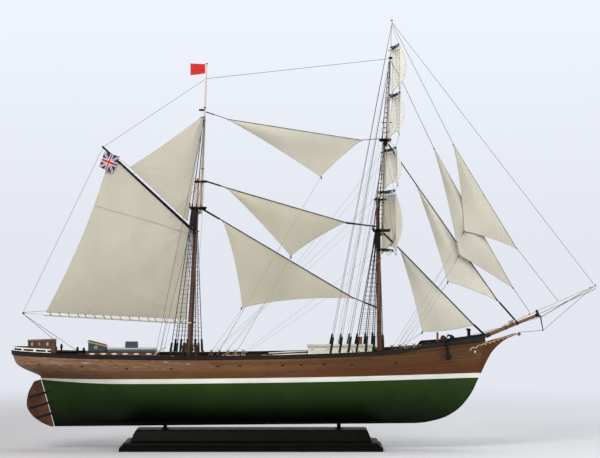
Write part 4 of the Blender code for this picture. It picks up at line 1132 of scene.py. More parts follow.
def roof_slab(b, x0, x1, half, z0, z1, thick, crown=0.8):
    """A cambered roof between two ends, with rounded edges."""
    rings = []
    across = 8
    for x, z in ((x0, z0), (x0 + 0.3, z0), (x1 - 0.3, z1), (x1, z1)):
        shrink = 0.25 if x in (x0, x1) else 0.0
        top = [V(x, half * s * (1 - shrink * 0.02), z + crown * (1 - s * s) - shrink) for s in
               [-1 + 2 * k / across for k in range(across + 1)]]
        rings.append([V(x, -half + shrink, z - thick + shrink)] + top + [V(x, half - shrink, z - thick + shrink)])
    b.loft(rings)


def window(b, x, y, z, width, tall, frame, glass, axis="y"):
    """A framed pane on a wall that faces sideways, or along the ship; frame and glass are slots."""
    def put(across, up, wide, high, deep, bevel, out=0.0):
        if axis == "y":
            b.block((x + across, y + math.copysign(out, y), z + up), (wide, deep, high), bevel)
        else:
            b.block((x, y + across, z + up), (deep, wide, high), bevel)

    w, t = width / 2, tall / 2
    b.slot = frame
    for bar in ((0, t, width + 0.9, 0.8), (0, -t, width + 1.1, 0.9), (-w, 0, 0.8, tall), (w, 0, 0.8, tall)):
        put(*bar, 0.9, 0.15, 0.15)
    b.slot = glass
    put(0, 0, width, tall, 0.5, 0.05)
    b.slot = 0


def porthole(b, x, y, z, radius, frame, glass):
    side = V(0, math.copysign(1.0, y), 0)
    at = V(x, y, z)
    b.slot = frame
    b.ring(at + side * 0.2, side, radius, 0.42, 14, 6)
    b.slot = glass
    b.turned(at - side * 0.2, at + side * 0.25, ((0, radius * 0.9), (0.8, radius * 0.95), (1, radius * 0.5)), 14)


def make_houses():
    """The five small buildings on deck, from aft forward."""
    # wheelhouse, right aft
    foot = deck_top(-293.0) - 1.4
    b = Build()
    x0, x1, half = -333.0, -293.0, 13.0
    wall_top = 167.4
    middle, centre, tall = (x0 + x1) / 2, (foot + wall_top) / 2, wall_top - foot
    b.block((middle, 0, centre - 0.6), (x1 - x0 - 1.0, half * 2 - 1.0, tall - 1.2), 0.3)
    b.blocks([x0 + 0.6 + k * (x1 - x0 - 1.2) / 5 for k in range(6)], (-half, half), [centre], (1.4, 1.2, tall), 0.2)
    b.blocks([middle], (-half, half), (foot + 1.2, foot + 8.5, wall_top - 1.0), (x1 - x0, 1.0, 1.4), 0.2)
    b.blocks((x0, x1), (-6.5, 0.0, 6.5), [centre], (1.0, 1.2, tall), 0.2)
    b.blocks((x0, x1), [0], (foot + 1.2, wall_top - 1.0), (1.0, half * 2, 1.4), 0.2)
    for x, y in itertools.product((-326.5, -316.5, -304.0), (-half + 0.2, half - 0.2)):
        window(b, x, y, 162.6, 4.0, 5.4, 0, 1)
    b.slot = 3
    roof_slab(b, x0 - 1.0, x1 + 1.0, half + 1.2, 168.0, 169.4, 1.1, 0.6)
    b.done("wheelhouse_panelled", ["panel", "pane", "panel", "roof_brown"], replaces=["wheelhouse"], smooth=30)

    # companionway with its sloped lid
    b = Build()
    x0, x1, half = -243.0, -216.0, 11.0
    foot = 151.5
    b.loft([
        [V(x0, -half, foot), V(x1, -half, foot), V(x1, half, foot), V(x0, half, foot)],
        [V(x0, -half, 164.6), V(x1, -half, 158.0), V(x1, half, 158.0), V(x0, half, 164.6)],
    ])
    for y in (-half, half):
        for x, top in ((x0 + 0.7, 164.8), (x1 - 0.7, 158.4)):
            b.block((x, y, (foot + top) / 2), (1.4, 1.0, top - foot), 0.2)
    b.blocks([(x0 + x1) / 2], (-half, half), [foot + 1.2], (x1 - x0, 1.0, 2.0), 0.2)
    for y in (-half - 0.1, half + 0.1):
        porthole(b, -231.5, y, 157.2, 1.9, 2, 1)
    b.slot = 3
    slope = (159.6 - 166.4) / (x1 - x0)
    roof_slab(b, x0 - 1.2, x1 + 1.0, half + 1.0, 166.4, 159.6, 1.5, 0.4)
    for y in (-half - 0.4, 0.0, half + 0.4):
        tilt = Quaternion((0, 1, 0), -math.atan(slope))
        # laid twice in one place: the doubled faces shade each batten darker
        for _ in range(2):
            b.block((x0 + 13.0, y, 166.7 + slope * 13.0 + 0.5), (x1 - x0 + 1.0, 0.9, 0.7), 0.15, tilt)
    b.slot = 2
    b.block((x0 - 0.3, 0, foot + 7.0), (0.8, 9.0, 13.0), 0.2)
    b.done("companion_hatch", ["slate", "glass", "white", "tan"], replaces=["companionway"], smooth=30)

    # low cabin side with oval lights, the trunk that stands on it, the skylight
    b = Build()
    foot = deck_top(-246.0) - 1.6
    b.slot = 1
    b.block((-193.0, 0, (foot + 151.2) / 2), (106.0, 35.2, 151.2 - foot), 0.3)
    b.slot = 4
    b.blocks([-193.0], (-17.6, 17.6), [151.0], (107.4, 1.4, 1.2), 0.25)
    b.blocks((-246.0, -140.0), [0], [151.0], (1.4, 36.6, 1.2), 0.25)
    for side in SIDES:
        for x in (-236.7, -220.0, -203.5, -187.0, -170.5, -152.0):
            for b.slot, wide, tall, depth in ((4, 10.0, 3.4, 0.5), (2, 8.6, 2.4, 0.8)):
                oval(b, (x, side * 17.4, 148.0), (0, side, 0), wide, tall, depth)
    x0, x1, half = -214.0, -142.0, 17.0
    b.slot = 0
    b.block(((x0 + x1) / 2, 0, 153.2), (x1 - x0, half * 2, 4.4), 0.4)
    b.slot = 3
    roof_slab(b, x0 - 0.9, x1 + 0.9, half + 0.9, 155.9, 155.9, 1.3, 0.9)
    b.done(
        "cabin_trunk_planked", ["grey", "panel", "white", "pale_grey", "dark"], replaces=["cabin_trunk"], smooth=30
    )
    b = Build()
    x0, x1, half = -188.0, -169.5, 9.0
    b.block(((x0 + x1) / 2, 0, 159.6), (x1 - x0, half * 2, 6.0), 0.3)
    for side in SIDES:
        b.slot = 1
        b.loft(
            [
                [V(x, side * 8.6, 162.4), V(x, side * 8.6, 163.0), V(x, 0, 165.0), V(x, 0, 162.4)]
                for x in (x0 + 0.5, x1 - 0.5)
            ]
        )
        b.slot = 0
        turn = Quaternion((1, 0, 0), -side * math.atan(2.4 / 8.6))
        for k in range(4):
            x = x0 + 1.0 + k * (x1 - x0 - 2.0) / 3
            b.block((x, side * 4.4, 164.3), (1.1, 9.4, 0.8), 0.15, turn)
        for dy, z in ((8.5, 163.1), (4.4, 164.2)):
            b.block(((x0 + x1) / 2, side * dy, z), (x1 - x0, 1.0, 0.8), 0.15, turn)
        b.slot = 2
        for k in range(6):
            x = x0 + 2.4 + k * (x1 - x0 - 4.8) / 5
            b.tube([(x, side * 8.3, 164.0), (x, side * 0.8, 166.1)], 0.16, 5)
    b.slot = 0
    b.block(((x0 + x1) / 2, 0, 165.3), (x1 - x0 + 0.6, 1.8, 1.2), 0.3)
    b.done("skylight_glazed", ["slate", "glass", "brass"], replaces=["skylight"], smooth=30)

    # deckhouse with its grey roof and stove pipe
    b = Build()
    x0, x1, half = 85.5, 181.0, 21.0
    foot = deck_top(x0) - 1.6
    b.block(((x0 + x1) / 2, 0, (foot + 159.4) / 2), (x1 - x0, half * 2, 159.4 - foot), 0.3)
    bays = [x0 + 6.6 + k * 11.7 for k in range(8)]
    posts = [x0 + 0.7 + k * (x1 - x0 - 1.4) / 8 for k in range(9)]
    b.blocks(posts, (-half, half), [(foot + 159.0) / 2], (1.1, 0.7, 159.0 - foot), 0.15)
    b.blocks([(x0 + x1) / 2], (-half, half), (foot + 1.5, 158.6), (x1 - x0, 0.8, 1.2), 0.15)
    for k, y in itertools.product((0, 2, 5, 7), (-half, half)):
        window(b, bays[k], y, 155.0, 4.4, 3.0, 2, 1)
    for x, y in itertools.product((x0, x1), (-10.0, 10.0)):
        window(b, x, y, 154.6, 4.4, 3.4, 2, 1, "x")
    b.slot = 2
    b.blocks((bays[3], bays[6]), (-half, half), [(foot + 157.4) / 2], (6.0, 0.9, 157.4 - foot - 1.0), 0.15)
    b.done("deckhouse_boarded", ["white", "pane", "white"], replaces=["deckhouse"], smooth=30)
    b = Build()
    roof_slab(b, x0 - 1.7, x1 + 1.7, half + 1.7, 160.3, 160.3, 1.3, 1.3)
    for k in range(9):
        y = -20.0 + 5.0 * k
        z = 160.35 + 1.3 * (1 - (y / 22.7) ** 2)
        b.block(((x0 + x1) / 2, y, z), (x1 - x0 + 2.4, 0.35, 0.3), 0.1)
    b.done("deckhouse_roof_boarded", ["roof"], replaces=["deckhouse_roof"], smooth=30)
    b = Build()
    b.turned(
        (164.5, 4, 160.9), (164.5, 4, 172.2),
        (
            (0, 3.6), (0.06, 3.6), (0.08, 2.7), (0.72, 2.6), (0.74, 3.0), (0.8, 3.0), (0.82, 2.6), (0.94, 2.5),
            (0.95, 3.3), (1.0, 3.0)
        ),
        20
    )
    b.done("stove_pipe", "rust", smooth=35)


def pin(b, at, tall=9.0):
    """A belaying pin that stands through its rail."""
    x, y, z = at
    half = tall * 0.45
    b.turned((x, y, z - half), (x, y, z + half), (
        (0, 0.35), (0.1, 0.5), (0.5, 0.55), (0.54, 0.9), (0.6, 0.6), (0.72, 0.95), (0.88, 0.9), (0.97, 0.6),
        (1, 0.3)), 9)



def hank(b, at, out, tall=8.0, wide=3.4, turns=4, wire=0.38):
    """Rope made up on its pin: loops splayed to both sides and ends that stand up."""
    at, out = Vector(at), Vector(out).normalized()
    along = V(-out.y, out.x, 0)
    for lean in (-1.0, 1.0):
        points = []
        for k in range(turns * 12):
            angle = math.tau * k / 12
            turn = k // 12
            t = tall / 2 * (0.85 + 0.07 * turn)
            low = t - t * math.cos(angle)
            sway = wide * 0.24 * math.sin(angle) + lean * wide * 0.42 * low / tall
            points.append(at + along * sway + out * (0.35 * turn) - V(0, 0, low))
        b.tube(points, wire, 5)
        b.tube(
            smooth_line(
                [
                    at - V(0, 0, 1.0), at + along * (lean * 1.2) + V(0, 0, 1.2),
                    at + along * (lean * 2.6) + V(0, 0, 2.6)
                ],
                4
            ),
            wire * 1.3, 5
        )


def make_pin_rails():
    """Pin rails along the bulwarks and round the main mast, with pins and the rope made up on them."""
    rails, pins, ropes, dark_ropes = Build(), Build(), Build(), Build()
    runs = ((-124.0, -70.0, 6), (-66.0, -8.0, 5), (148.0, 204.0, 6), (208.0, 252.0, 4), (-300.0, -262.0, 0))
    for side in SIDES:
        for x0, x1, count in runs:
            steps = 14
            line, out = [], []
            for i in range(steps + 1):
                x = x0 + (x1 - x0) * i / steps
                line.append(V(x, side * (side_at(x, 1.0) - 4.3), rail_top(x) - 1.9))
                out.append(V(0, side, 0))
            swept(rails, line, out, rounded(3.0, 1.0, 0.0, 0.25))
            for i in range(count):
                x = x0 + (x1 - x0) * (i + 0.5) / count + rng.uniform(-1.2, 1.2)
                at = V(x, side * (side_at(x, 1.0) - 4.6), rail_top(x) - 0.6)
                pin(pins, at, 6.4)
                if x0 in (-66.0, 208.0):
                    hank(
                        ropes if i > 1 else dark_ropes, at - V(0, side * 0.7, -1.0), (0, -side, 0),
                        rng.uniform(5.4, 6.4), rng.uniform(5.0, 6.0)
                    )
    fife_x = -91.4
    for dx, y in (
        (-7, -10), (-2, -10), (3, -10), (-7, 10), (-2, 10), (3, 10), (9.0, -6), (9.0, -2), (9.0, 2), (9.0, 6)
    ):
        at = V(fife_x + dx, y, 159.6)
        pin(pins, at, 10)
        out = V(0, math.copysign(1, y), 0) if abs(y) > 8 else V(1, 0, 0)
        hank(dark_ropes, at + out * 0.9 - V(0, 0, 0.2), out, 8.0, 3.2)
    rails.done("pin_rails", "dark", smooth=30)
    pins.done("belaying_pins", "dark", smooth=40)
    dark_ropes.done("dark_rope_hanks", "hank_dark", smooth=60)
    ropes.done("rope_hanks", "hemp", smooth=60)

    b = Build()
    top = 158.9
    for (x0, y0), (x1, y1) in (((-12, -10), (10, -10)), ((9, -11), (9, 11)), ((-12, 10), (10, 10))):
        size = (abs(x1 - x0) + 2.2 if x1 != x0 else 2.4, abs(y1 - y0) + 2.2 if y1 != y0 else 2.4, 1.7)
        b.block((fife_x + (x0 + x1) / 2, (y0 + y1) / 2, top), size, 0.35)
    foot = deck_top(fife_x) - 0.5
    for dx, y in ((-10.5, -10.0), (9.0, -10.0), (9.0, 10.0), (-10.5, 10.0)):
        at = V(fife_x + dx, y, foot)
        b.turned(
            at, at + V(0, 0, top - foot - 0.4),
            (
                (0, 1.5), (0.08, 1.5), (0.1, 1.0), (0.3, 1.35), (0.45, 0.85), (0.6, 1.35), (0.88, 1.0), (0.9, 1.5),
                (1, 1.5)
            ),
            14
        )
    b.done("fife_rail_turned", "dark", replaces=["main_fife_rail"], smooth=30)


def make_waist():
    """Hatches, spare spars, bitts, pumps, pipes and coils."""
    # hatches with boarded covers
    b = Build()
    for x0, x1, half in ((-44.0, -8.0, 17.0), (34.0, 66.0, 16.0), (216.0, 236.0, 10.0)):
        z = deck_top((x0 + x1) / 2)
        b.slot = 0
        middle, boards = (x0 + x1) / 2, 8
        b.blocks([middle], (-half, half), [z + 1.3], (x1 - x0 + 2.4, 2.0, 4.2), 0.4)
        b.blocks((x0, x1), [0], [z + 1.3], (2.0, half * 2 + 1.9, 4.2), 0.4)
        b.slot = 1
        places = [-half + (k + 0.5) * half * 2 / boards for k in range(boards)]
        b.blocks([middle], places, [z + 2.9], (x1 - x0 - 1.6, half * 2 / boards - 0.3, 1.6), 0.25)
        b.slot = 2
        b.blocks((x0 + 6, x1 - 6), [0], [z + 3.9], (1.6, half * 2 + 1.0, 0.5), 0.15)
    b.done("cargo_hatches", ["rust", "deck", "iron"], smooth=30)
    # spare spars on chocks
    b = Build()
    for y in (-40.0, 40.0):
        b.turned(
            (26.0, y, 146.4), (84.0, y * 0.98, 149.4), ((0, 0.5), (0.02, 0.8), (0.5, 1.15), (0.97, 0.9), (1, 0.6)), 14
        )
    b.slot = 1
    for x in (34.0, 68.0):
        b.blocks([x], (-40.0, 40.0), [deck_top(x) + 0.4], (2.0, 6.0, 2.4), 0.3)
    b.done("spare_spars", ["cream", "dark"], slot="pale_wood", smooth=40)
    # bitts and pumps
    b = Build()
    for x, top, half in (
        (-284.0, 162.5, 0.0), (-260.0, 158.0, 0.0), (-250.5, 157.0, 0.0), (12.0, 147.5, 46.0), (76.0, 148.5, 46.0)
    ):
        for y in sorted({-half, half}):
            foot = V(x, y, deck_height(x) - 0.4)
            b.turned(
                foot, V(x, y, top),
                ((0, 2.2), (0.07, 2.2), (0.1, 1.3), (0.62, 1.25), (0.68, 1.9), (0.8, 2.0), (0.93, 1.6), (1, 0.6)), 16
            )
    for x in (-104.0, -100.0):
        for y in (-15.0, 15.0):
            foot = V(x, y, deck_top(x) - 0.6)
            b.turned(
                foot, foot + V(0, 0, 10.0), ((0, 1.7), (0.1, 1.7), (0.12, 1.1), (0.8, 1.1), (0.82, 1.5), (1, 1.2)), 14
            )
    b.done("bitts_and_pumps", "black", smooth=35)
    # pale pipes that bend down beside the main mast's backstays
    b = Build()
    for y in (-38.0, 38.0):
        b.tube(
            smooth_line([(-141.0, y, 147.0), (-139.5, y, 151.0), (-135.0, y, 154.0), (-129.0, y, 155.5)], 5), 0.9, 8
        )
    b.done("bent_pipes", "cream", smooth=45)
    # coils laid on deck
    b = Build()
    for x, y, r in (
        (-20.0, 38.0, 6.0), (0.0, -36.0, 5.5), (20.0, 34.0, 5.5), (-118.0, 30.0, 5.0), (244.0, -16.0, 4.6),
        (244.0, 18.0, 4.6), (-262.0, 24.0, 4.8)
    ):
        b.coil((x, y, deck_top(x) - DECK_CROWN * (y / side_at(x, 0.95)) ** 2 + 0.2), r)
    for x, y, r in ((268.0, -14.0, 4.4), (270.0, 15.0, 4.4), (308.0, 0.0, 4.0)):
        b.coil((x, y, forecastle_height(x) + 1.7), r)
    b.done("deck_coils", "hemp", smooth=60)


def make_forecastle():
    """Windlass, bell, knightheads, catheads and the ornament of the head."""
    b = Build()
    x, z = 289.0, forecastle_height(289.0) + 9.0
    barrel = doubled((
        (0.0, 2.0), (0.02, 2.4), (0.14, 2.4), (0.16, 4.2), (0.18, 4.2), (0.2, 3.4), (0.3, 3.1), (0.4, 3.4),
        (0.43, 4.2)))
    b.turned((x, -17, z), (x, 17, z), barrel, 20)
    for middle, k in itertools.product((-6.5, 6.5), range(8)):
        angle = math.tau * k / 8
        d = V(math.cos(angle), 0, math.sin(angle))
        b.tube([V(x, middle + run, z) + d * out for run, out in ((-3.0, 3.5), (0.0, 3.25), (3.0, 3.5))], 0.45, 5)
    for y in (-13.2, 13.2):
        foot = forecastle_height(x) + 1.2
        cheek = ((-4.0, foot), (4.0, foot), (3.0, z), (2.0, z + 4.2), (-2.0, z + 4.2), (-3.0, z))
        b.prism([V(x + dx, y - 0.9, height) for dx, height in cheek], (0, 1.8, 0))
    b.slot = 1
    for k in range(10):
        angle = math.tau * k / 10
        d = V(math.cos(angle), 0, math.sin(angle))
        b.block(V(x, 0, z) + d * 4.1, (1.0, 3.6, 0.7), 0.15, Quaternion((0, 1, 0), -angle))
    b.done("windlass_whelped", ["dark", "iron"], replaces=["windlass"], smooth=30)
    b = Build()
    belfry_x, knight_x = 280.0, 327.0
    b.slot = 1
    foot = forecastle_height(belfry_x) + 1.0
    b.blocks([belfry_x], (-6.5, 6.5), [(foot + 179.4) / 2], (2.4, 2.4, 179.4 - foot), 0.4)
    b.block((belfry_x, 0, 173.5), (2.2, 15.6, 2.2), 0.4)
    b.slot = 0
    foot = forecastle_height(knight_x) + 1.0
    b.blocks([knight_x], (-9.0, 9.0), [(foot + 185.0) / 2], (3.6, 3.6, 185.0 - foot), 0.5)
    b.blocks([knight_x - 0.6], (-9.0, 9.0), [183.6], (5.8, 5.0, 3.0), 0.6)
    b.done("forecastle_bitts", ["black", "rust"], smooth=30)
    # ship's bell in its frame
    b = Build()
    b.turned(
        (belfry_x, 0, 168.6), (belfry_x, 0, 172.4),
        ((0, 2.0), (0.08, 2.05), (0.2, 1.6), (0.6, 1.15), (0.9, 0.8), (1, 0.3)), 18
    )
    b.ball((belfry_x, 0, 168.4), 0.45)
    b.done("bell", "brass", smooth=35)
    # catheads
    b = Build()
    for side in SIDES:
        root = V(303.0, side * 20.0, 173.5)
        tip = V(298.0, side * (side_at(298.0, 1.0) + 9.5), 173.5)
        along = (tip - root).normalized()
        turn = V(0, 1, 0).rotation_difference(along)
        b.block((root + tip) / 2, (2.6, (tip - root).length, 2.8), 0.45, turn)
        b.block(tip - along * 0.6, (3.2, 1.4, 3.4), 0.3, turn)
    b.done("catheads", "black", smooth=30)
    # gilt scroll along the head, its knob, the hawse pipes
    b = Build()
    for side in SIDES:
        on_hull = []
        for x, z in ((328.0, 153.0), (332.0, 157.0), (337.0, 156.5), (341.0, 160.5), (345.0, 160.5)):
            at, out = skin_at(x, z)
            on_hull.append(V(at.x, side * (abs(at.y) + 0.4), at.z))
        knee = [
            V(352, side * 2.7, 163.4), V(362, side * 2.6, 165.4), V(372, side * 2.5, 169.6),
            V(382, side * 2.4, 172.4), V(392, side * 2.2, 175.4), V(400, side * 1.8, 177.2)
        ]
        line = smooth_line(on_hull + knee, 5)
        b.tube(line, [1.0 - 0.45 * k / (len(line) - 1) for k in range(len(line))], 8)
        for k in range(7):
            at = V(352 + 6.6 * k, side * (2.7 - 0.1 * k), 161.2 + 2.0 * k)
            b.ball(at, 0.95 - 0.06 * k, (1, 0, 0.4), 1.5, 6, 10)
    b.done("head_scroll", "tan", smooth=45)
    b = Build()
    b.ball((402.5, 0, 176.8), 2.6, (1, 0, 0.3), 1.0, 8, 14)
    b.done("head_knob", "rust", slot="mahogany", smooth=60)
    b = Build()
    for side in SIDES:
        at, out = skin_at(335.5, 150.5)
        at, out = V(at.x, side * abs(at.y), at.z), V(out.x, side * abs(out.y), out.z)
        b.slot = 0
        b.ring(at + out * 0.2, out, 1.2, 0.55, 20, 7)
        b.slot = 1
        b.turned(at - out * 0.5, at + out * 0.25, ((0, 1.0), (0.9, 1.05), (1, 0.8)), 18)
    b.done("hawse_pipes", ["white", "black"], slot="iron", smooth=35)


def make_anchors():
    """An anchor at each bow, hung from its cathead, and its chain."""
    x, high = 294.5, 166.0
    fore, aft = side_at(x + 8.0, 0.9), side_at(x - 8.0, 0.9)
    slope = (aft - fore) / 16.0
    for name, side in (("anchor_starboard", -1.0), ("anchor_port", 1.0)):
        def at(dx, dz, out=3.1):
            return V(x + dx, side * (aft - slope * (dx + 8.0) + 2.6 + out), high + dz)
        b = Build()
        b.tube([at(-1.5, 1), at(-0.8, -8), at(0.6, -24.0)], [2.3, 2.1, 2.5], 10)
        arms = smooth_line(
            [
                at(-4.6, -19.0), at(-3.9, -22.4), at(-1.8, -24.6), at(0, -25.2), at(1.8, -24.6), at(3.9, -22.4),
                at(4.6, -19.0)
            ],
            5
        )
        count = len(arms) - 1
        b.tube(arms, [0.9 + 1.0 * (1 - abs(2 * k / count - 1)) for k in range(count + 1)], 9)
        for d in (-1.0, 1.0):
            palm = [at(d * 4.9, -17.4, 3.1 + o) for o in (-1.8, 1.8)] + [
                at(d * 3.4, -21.0, 3.1 + o) for o in (2.4, -2.4)
            ]
            b.prism(palm, (d * 0.9, 0, 0.5))
        b.tube([at(-4.5, -2.6, 3.1), at(0, -2.9, 3.1), at(4.5, -2.6, 3.1)], [1.2, 1.8, 1.2], 10)
        b.slot = 1
        for d in (-3.4, 3.4):
            b.ring(at(d, -2.75), (1, 0, 0), 1.7, 0.25, 12, 5)
        b.slot = 0
        b.ring(at(0, 2.2), (0, 1, 0), 1.9, 0.4, 16, 6)
        tip = V(298.0, side * (side_at(298.0, 1.0) + 9.0), 172.0)
        b.slot = 2
        b.tube([at(0.3, 3.4), tip], 0.4, 6)
        b.tube([at(-0.3, 3.4), tip - V(1.2, 0, 0)], 0.4, 6)
        b.done(name + "_forged", ["iron", "black", "tarred"], replaces=[name], smooth=40)
        # chain up to the hawse pipe
        b = Build()
        start = at(2.0, -20.0, 1.2)
        end, _ = skin_at(335.5, 150.5)
        end = V(end.x, side * abs(end.y) + side * 1.2, end.z)
        line = []
        for k in range(25):
            t = k / 24
            p = start.lerp(end, t) + V(0, 0, 1.5 * 4.0 * t * (1 - t))
            clear = abs(skin_at(p.x, p.z)[0].y) + 0.9
            line.append(V(p.x, side * clear, p.z))
        for k in range(len(line) - 1):
            a, c = line[k], line[k + 1]
            d = (c - a).normalized()
            across = d.cross(V(0, side, 0)).normalized() if k % 2 else V(0, side, 0)
            centre = (a + c) / 2
            b.tube(oval_points(centre, d, across, 1.0, 0.55, 10), 0.22, 5, closed=True)
        b.done(name + "_chain", "chain", smooth=50)


# ---------------------------------------------------------------- masts, tops and spars

# Each spar's two ends and the radius at each.
MAIN_LOWER = (V(-91.8, 0, 141.0), V(-80.0, 0, 408.5), 4.0, 3.0)
MAIN_TOP = (V(-75.0, 0, 357.0), V(-66.0, 0, 583.0), 2.6, 0.9)
FORE_LOWER = (V(193.1, 0, 149.2), V(190.0, 0, 382.0), 3.75, 2.7)
FORE_TOP = (V(197.0, 0, 324.0), V(201.1, 0, 471.5), 2.25, 1.8)
FORE_GALLANT = (V(205.0, 0, 457.0), V(211.5, 0, 648.6), 1.5, 0.7)
BOWSPRIT = (V(334.0, 0, 166.9), V(431.0, 0, 206.0), 3.3, 2.1)
JIB_BOOM = (V(378.0, 0, 189.4), V(519.0, 0, 251.0), 1.25, 0.75)
GAFF = (V(-88.6, 0, 334.0), V(-223.0, 0, 458.5), 2.2, 1.4)
MAIN_BOOM = (V(-95.6, 0, 194.3), V(-342.6, 0, 208.5), 2.3, 1.5)


def on(spar, height):
    """The point of a spar's axis at a height."""
    a, b = spar[0], spar[1]
    return a.lerp(b, (height - a.z) / (b.z - a.z))


def on_x(spar, x):
    """The point of a spar's axis at a place along the ship."""
    return spar[0].lerp(spar[1], (x - spar[0].x) / (spar[1].x - spar[0].x))


def make_spar(name, spar, material, body=HULL, slot="mahogany", node=None, bands=(), sides=24,
              band_material="black", collar=0.35, head=None):
    """A tapered spar with softened ends and bands at shares of its length."""
    start, end, r0, r1 = spar
    length = (end - start).length

    def radius(share):
        return r0 + (r1 - r0) * (share * 0.8 if share < 0.5 else 0.4 + 1.2 * (share - 0.5))

    rows = [(0.0, r0 * 0.75), (0.5 / length, r0 * 0.95), (1.4 / length, r0)]
    rows += [(k / 24, radius(k / 24)) for k in range(1, 24)]
    rows += [(1 - 1.2 / length, r1), (1 - 0.4 / length, r1 * 0.9), (1.0, r1 * 0.6)]
    b = Build()
    b.turned(start, end, rows, sides)
    for face in b.bm.faces:
        if head and (face.calc_center_median() - start).dot(end - start) / length**2 > head[0]:
            face.material_index = 2
    b.slot = 1
    for share, wide in bands:
        r = radius(share)
        at = start.lerp(end, share)
        d = (end - start).normalized()
        profile = doubled(((0, r - 0.2), (0.02, r + collar * 0.7), (0.15, r + collar)))
        b.turned(at - d * wide / 2, at + d * wide / 2, profile, sides)
    b.done(name, [material, band_material, head[1] if head else material], body, slot, [node], 40)


def make_masts():
    """All spars but the yards, with the jaws and beads of gaff and boom."""
    make_spar(
        "main_mast_lower", MAIN_LOWER, "mast", node="main_lower_mast", bands=((0.4, 1.2), (0.62, 1.2), (0.735, 1.6)),
        head=(0.845, "pale")
    )
    make_spar(
        "main_topmast_pole", MAIN_TOP, "pale", slot="pale_wood", node="main_topmast",
        bands=((0.30, 1.4), (0.62, 1.0), (0.705, 1.6))
    )
    make_spar(
        "fore_mast_lower", FORE_LOWER, "mast", node="fore_lower_mast",
        bands=((0.2, 1.2), (0.44, 1.2), (0.66, 1.6), (0.75, 1.4))
    )
    make_spar(
        "fore_topmast_pole", FORE_TOP, "pale", slot="pale_wood", node="fore_topmast",
        bands=((0.34, 1.4), (0.45, 1.4), (0.86, 1.4)), sides=20
    )
    make_spar(
        "fore_topgallant_pole", FORE_GALLANT, "pale", slot="pale_wood", node="fore_topgallant_mast",
        bands=((0.12, 1.0), (0.41, 1.2), (0.7, 1.6), (0.78, 1.0)), sides=18
    )
    make_spar(
        "bowsprit_spar", BOWSPRIT, "bowsprit", node="bowsprit", bands=((0.5, 1.4), (0.675, 3.2), (0.97, 3.4)),
        collar=0.5
    )
    make_spar(
        "jib_boom_spar", JIB_BOOM, "pale_along", slot="pale_wood", node="jib_boom",
        bands=((0.28, 1.2), (0.93, 1.0), (0.985, 1.4)), sides=18
    )
    make_spar("gaff_spar", GAFF, "black", BOOM, "black_paint", "gaff", ((0.3, 1.2), (0.6, 1.2), (0.95, 1.0)), 18)
    stout = (MAIN_BOOM[0], on_x(MAIN_BOOM, -310.5), 2.5, 2.5)
    make_spar("main_boom_spar", stout, "cream", BOOM, "white_paint", "main_boom", ((0.045, 3.0),), 20, "cream")
    b = Build()
    b.tube([on_x(MAIN_BOOM, -308.0), on_x(MAIN_BOOM, -340.5)], 0.6, 8)
    b.slot = 1
    b.turned(on_x(MAIN_BOOM, -339.2), on_x(MAIN_BOOM, -342.6), doubled(((0, 0.8), (0.1, 1.5))), 12)
    b.done("boom_end_rod", ["pale_along", "black"], BOOM, "iron", smooth=40)
    make_spar(
        "dolphin_striker_spar", (V(434.6, 0, 202.5), V(438.5, 0, 181.5), 1.0, 0.6), "black", HULL, "black_paint",
        "dolphin_striker", ((0.9, 1.0),), 14
    )
    # jaws of gaff and boom
    for name, spar, colour in (("gaff_jaws", GAFF, "black"), ("boom_jaws", MAIN_BOOM, "cream")):
        b = Build()
        start = spar[0]
        d = (spar[0] - spar[1]).normalized()
        for side in SIDES:
            line = [
                start - d * 7 + V(0, side * 1.6, 0), start - d * 2 + V(0, side * 2.4, 0),
                start + d * 2 + V(0, side * 4.4, 0), start + d * 7.5 + V(0, side * 4.7, 0)
            ]
            b.tube(smooth_line(line, 3), [1.1] * 6 + [0.9] * 3 + [0.7], 8)
        b.done(name, colour, BOOM, "black_paint", smooth=40)
    # parrel beads round the mast at both jaws
    b = Build()
    for spar, height in ((MAIN_LOWER, GAFF[0].z - 3.0), (MAIN_LOWER, MAIN_BOOM[0].z)):
        at = on(spar, height)
        for k in range(9):
            angle = -1.35 + 2.7 * k / 8
            b.ball(at + V(math.cos(angle) * 5.4, math.sin(angle) * 5.4, 0), 0.85, (0, 0, 1), 1.0, 5, 8)
    b.done("parrel_beads", "dark", BOOM, smooth=60)
    # trucks at both mastheads
    b = Build()
    for at in (V(211.6, 0, 648.3), V(-65.95, 0, 583.0)):
        b.turned(at - V(0, 0, 1.6), at + V(0, 0, 0.2), ((0, 0.7), (0.2, 1.5), (0.6, 1.9), (0.9, 1.5), (1, 0.4)), 16)
    b.done("mast_trucks", "dark", smooth=40)


